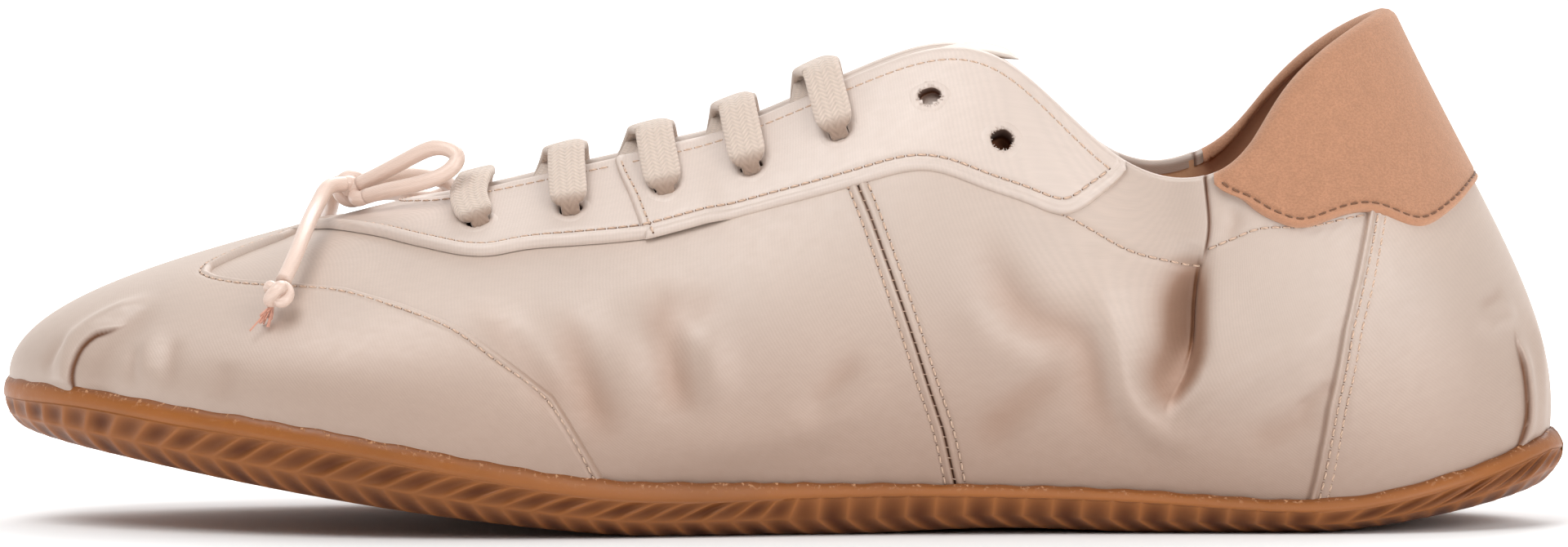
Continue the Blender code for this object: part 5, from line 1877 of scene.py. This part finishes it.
class SNEAKER_OT_stitches(bpy.types.Operator):
    """Rows of stitching"""

    bl_idname = "sneaker.stitches"
    bl_label = "Stitches"

    def execute(self, context):
        tan = thread("tan thread", colours().thread)
        build("stitching_front", front_stitches(), tan, "satin")
        build("stitching_rear", rear_stitches(), tan, "satin")
        dark = thread("brown thread", BROWN_THREAD)
        build("tab_stitching", [tab_stitches()], dark, "suede")
        return {"FINISHED"}


class SNEAKER_OT_laces(bpy.types.Operator):
    """Flat cotton laces through the eyelets"""

    bl_idname = "sneaker.laces"
    bl_label = "Laces"

    def execute(self, context):
        cotton = braided_cotton()
        bar, *crossings = laces()
        build("lace_bar", bar, cotton, "cotton_lace", "lace_bar_1")
        for row, pair in enumerate(crossings, start=2):
            build(f"lace_pair_{row}", pair, cotton, "cotton_lace", f"lace_cross_{row}")
        return {"FINISHED"}


class SNEAKER_OT_bow(bpy.types.Operator):
    """Small satin bow with knotted ends"""

    bl_idname = "sneaker.bow"
    bl_label = "Bow"

    def execute(self, context):
        finish = twilled_cord()
        radius = sizes().cord / MM
        build("bow_middle", bow_knot(), finish, "satin_cord", "bow_knot")
        for seed, side in enumerate(("lateral", "medial")):
            ball = [end_knot(END_KNOTS[side])]
            ball += frayed_tip(np.array(END_KNOTS[side]) - (0.8, 0, 1.6), seed)
            knot = build(f"end_knot_{side}", ball, finish, "satin_cord",
                         f"bow_end_knot_{side}")
            for name, route, far, pieces in (
                    ("bow_end", BOW_ENDS[side], "knot", [knot]),
                    ("bow_loop", BOW_LOOPS[side], "object", [])):
                path = resampled(route, 60)
                cord = build(f"{name}_cord_{side}", [cord_tube(path, radius)], finish,
                             "satin_cord", f"{name}_{side}")
                run_length(path)[-1] * MM
                [tuple(spot) for spot in path * MM]
                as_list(pieces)
        return {"FINISHED"}


def add_camera(scene):
    """The camera: level with the shoe's side, tilted down a little."""
    camera = bpy.data.cameras.new("camera")
    camera.lens = LENS
    camera.sensor_width = SENSOR
    eye = bpy.data.objects.new("camera", camera)
    tilt = math.radians(EYE_TILT)
    eye.location = EYE_TARGET + EYE_DISTANCE * Vector((0.0, -math.cos(tilt), math.sin(tilt)))
    eye.rotation_euler = (math.pi / 2 - tilt, 0.0, 0.0)
    scene.collection.objects.link(eye)
    scene.camera = eye


def add_room(scene):
    """A room that is white behind the shoe and dimmer in front, so that the satin models."""
    world = bpy.data.worlds.new("studio")
    world.use_nodes = True
    tree = world.node_tree
    way = tree.nodes.new("ShaderNodeTexCoord")
    parts = tree.nodes.new("ShaderNodeSeparateXYZ")
    fade = tree.nodes.new("ShaderNodeMapRange")
    for socket, value in zip(("From Min", "From Max", "To Min", "To Max"),
                             (*ROOM_FADE, ROOM_FRONT, ROOM_BACK)):
        fade.inputs[socket].default_value = value
    tree.links.new(way.outputs["Generated"], parts.inputs[0])
    tree.links.new(parts.outputs["Y"], fade.inputs["Value"])
    tree.links.new(fade.outputs[0], tree.nodes["Background"].inputs["Strength"])
    tree.nodes["Background"].inputs["Color"].default_value = (1, 1, 1, 1)
    scene.world = world
    scene.view_settings.view_transform = "Standard"


def add_lamps(scene):
    """The soft boxes of LAMPS."""
    for name, size, watts, start, towards in LAMPS:
        light = bpy.data.lights.new(name, "AREA")
        light.size = size
        light.energy = watts
        lamp = bpy.data.objects.new(name, light)
        lamp.location = start
        way = Vector(towards) - Vector(start)
        lamp.rotation_euler = way.to_track_quat("-Z", "Y").to_euler()
        scene.collection.objects.link(lamp)


def add_floor(scene):
    """A sheet of pale paper that shines by itself away from the shoe."""
    corners = np.array([(-1, -1, 0), (1, -1, 0), (-1, 1, 0), (1, 1, 0)]) * FLOOR_HALF
    floor = bpy.data.meshes.new("floor")
    floor.from_pydata(corners.tolist(), [], [(0, 1, 3, 2)])
    paper = Shader("floor paper", Base_Color=(0.9, 0.9, 0.9, 1.0), Roughness=0.8,
                   Specular_IOR_Level=0.2, Emission_Color=(1, 1, 1, 1))
    far = paper.node("ShaderNodeVectorMath", {0: paper.place(scale=(0.55, 1, 1))},
                     operation="LENGTH")
    glow = paper.span(far.outputs["Value"], *GLOW_SPAN, 0.0, FLOOR_GLOW)
    paper.finish(Emission_Strength=glow)
    floor.materials.append(paper.material)
    ground = bpy.data.objects.new("floor", floor)
    scene.collection.objects.link(ground)
    ground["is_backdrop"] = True


class SNEAKER_OT_stage(bpy.types.Operator):
    """Pale floor, soft studio light and the camera"""

    bl_idname = "sneaker.stage"
    bl_label = "Stage"

    def execute(self, context):
        for add in (add_camera, add_room, add_lamps, add_floor):
            add(context.scene)
        return {"FINISHED"}


OPERATORS = (
    SNEAKER_OT_stage,
    SNEAKER_OT_bow,
    SNEAKER_OT_sole,
    SNEAKER_OT_inside,
    SNEAKER_OT_upper,
    SNEAKER_OT_toe,
    SNEAKER_OT_stays,
    SNEAKER_OT_tab,
    SNEAKER_OT_tongue,
    SNEAKER_OT_stitches,
    SNEAKER_OT_laces,
)


class SNEAKER_PT_pieces(bpy.types.Panel):
    """Sizes, colours and the pieces of the sneaker"""

    bl_label = "Ballet Sneaker"
    bl_idname = "SNEAKER_PT_pieces"
    bl_space_type = "VIEW_3D"
    bl_region_type = "UI"
    bl_category = "Sneaker"

    def draw(self, context):
        layout = self.layout
        for group in (context.scene.sneaker_sizes, context.scene.sneaker_colours):
            box = layout.box()
            for name in group.__annotations__:
                box.prop(group, name)
        for operator in OPERATORS:
            layout.operator(operator.bl_idname)


CLASSES = (SneakerSizes, SneakerColours, *OPERATORS, SNEAKER_PT_pieces)


def register():
    """Adds the operators, the panel and the settings to Blender."""
    for kind in CLASSES:
        bpy.utils.register_class(kind)
    bpy.types.Scene.sneaker_sizes = PointerProperty(type=SneakerSizes)
    bpy.types.Scene.sneaker_colours = PointerProperty(type=SneakerColours)


def unregister():
    """Takes them away again."""
    del bpy.types.Scene.sneaker_colours
    del bpy.types.Scene.sneaker_sizes
    for kind in reversed(CLASSES):
        bpy.utils.unregister_class(kind)


def main():
    """Puts the stage and every piece in the scene."""
    register()
    bpy.ops.sneaker.stage()
    bpy.ops.sneaker.bow()
    bpy.ops.sneaker.sole()
    bpy.ops.sneaker.inside()
    bpy.ops.sneaker.upper()
    bpy.ops.sneaker.toe()
    bpy.ops.sneaker.stays()
    bpy.ops.sneaker.tab()
    bpy.ops.sneaker.tongue()
    bpy.ops.sneaker.stitches()
    bpy.ops.sneaker.laces()
    boxes = {"cad": CAD_BOX, "visual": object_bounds()}
    {name: [list(corner) for corner in box] for name, box in boxes.items()}


if __name__ == "__main__":
    main()
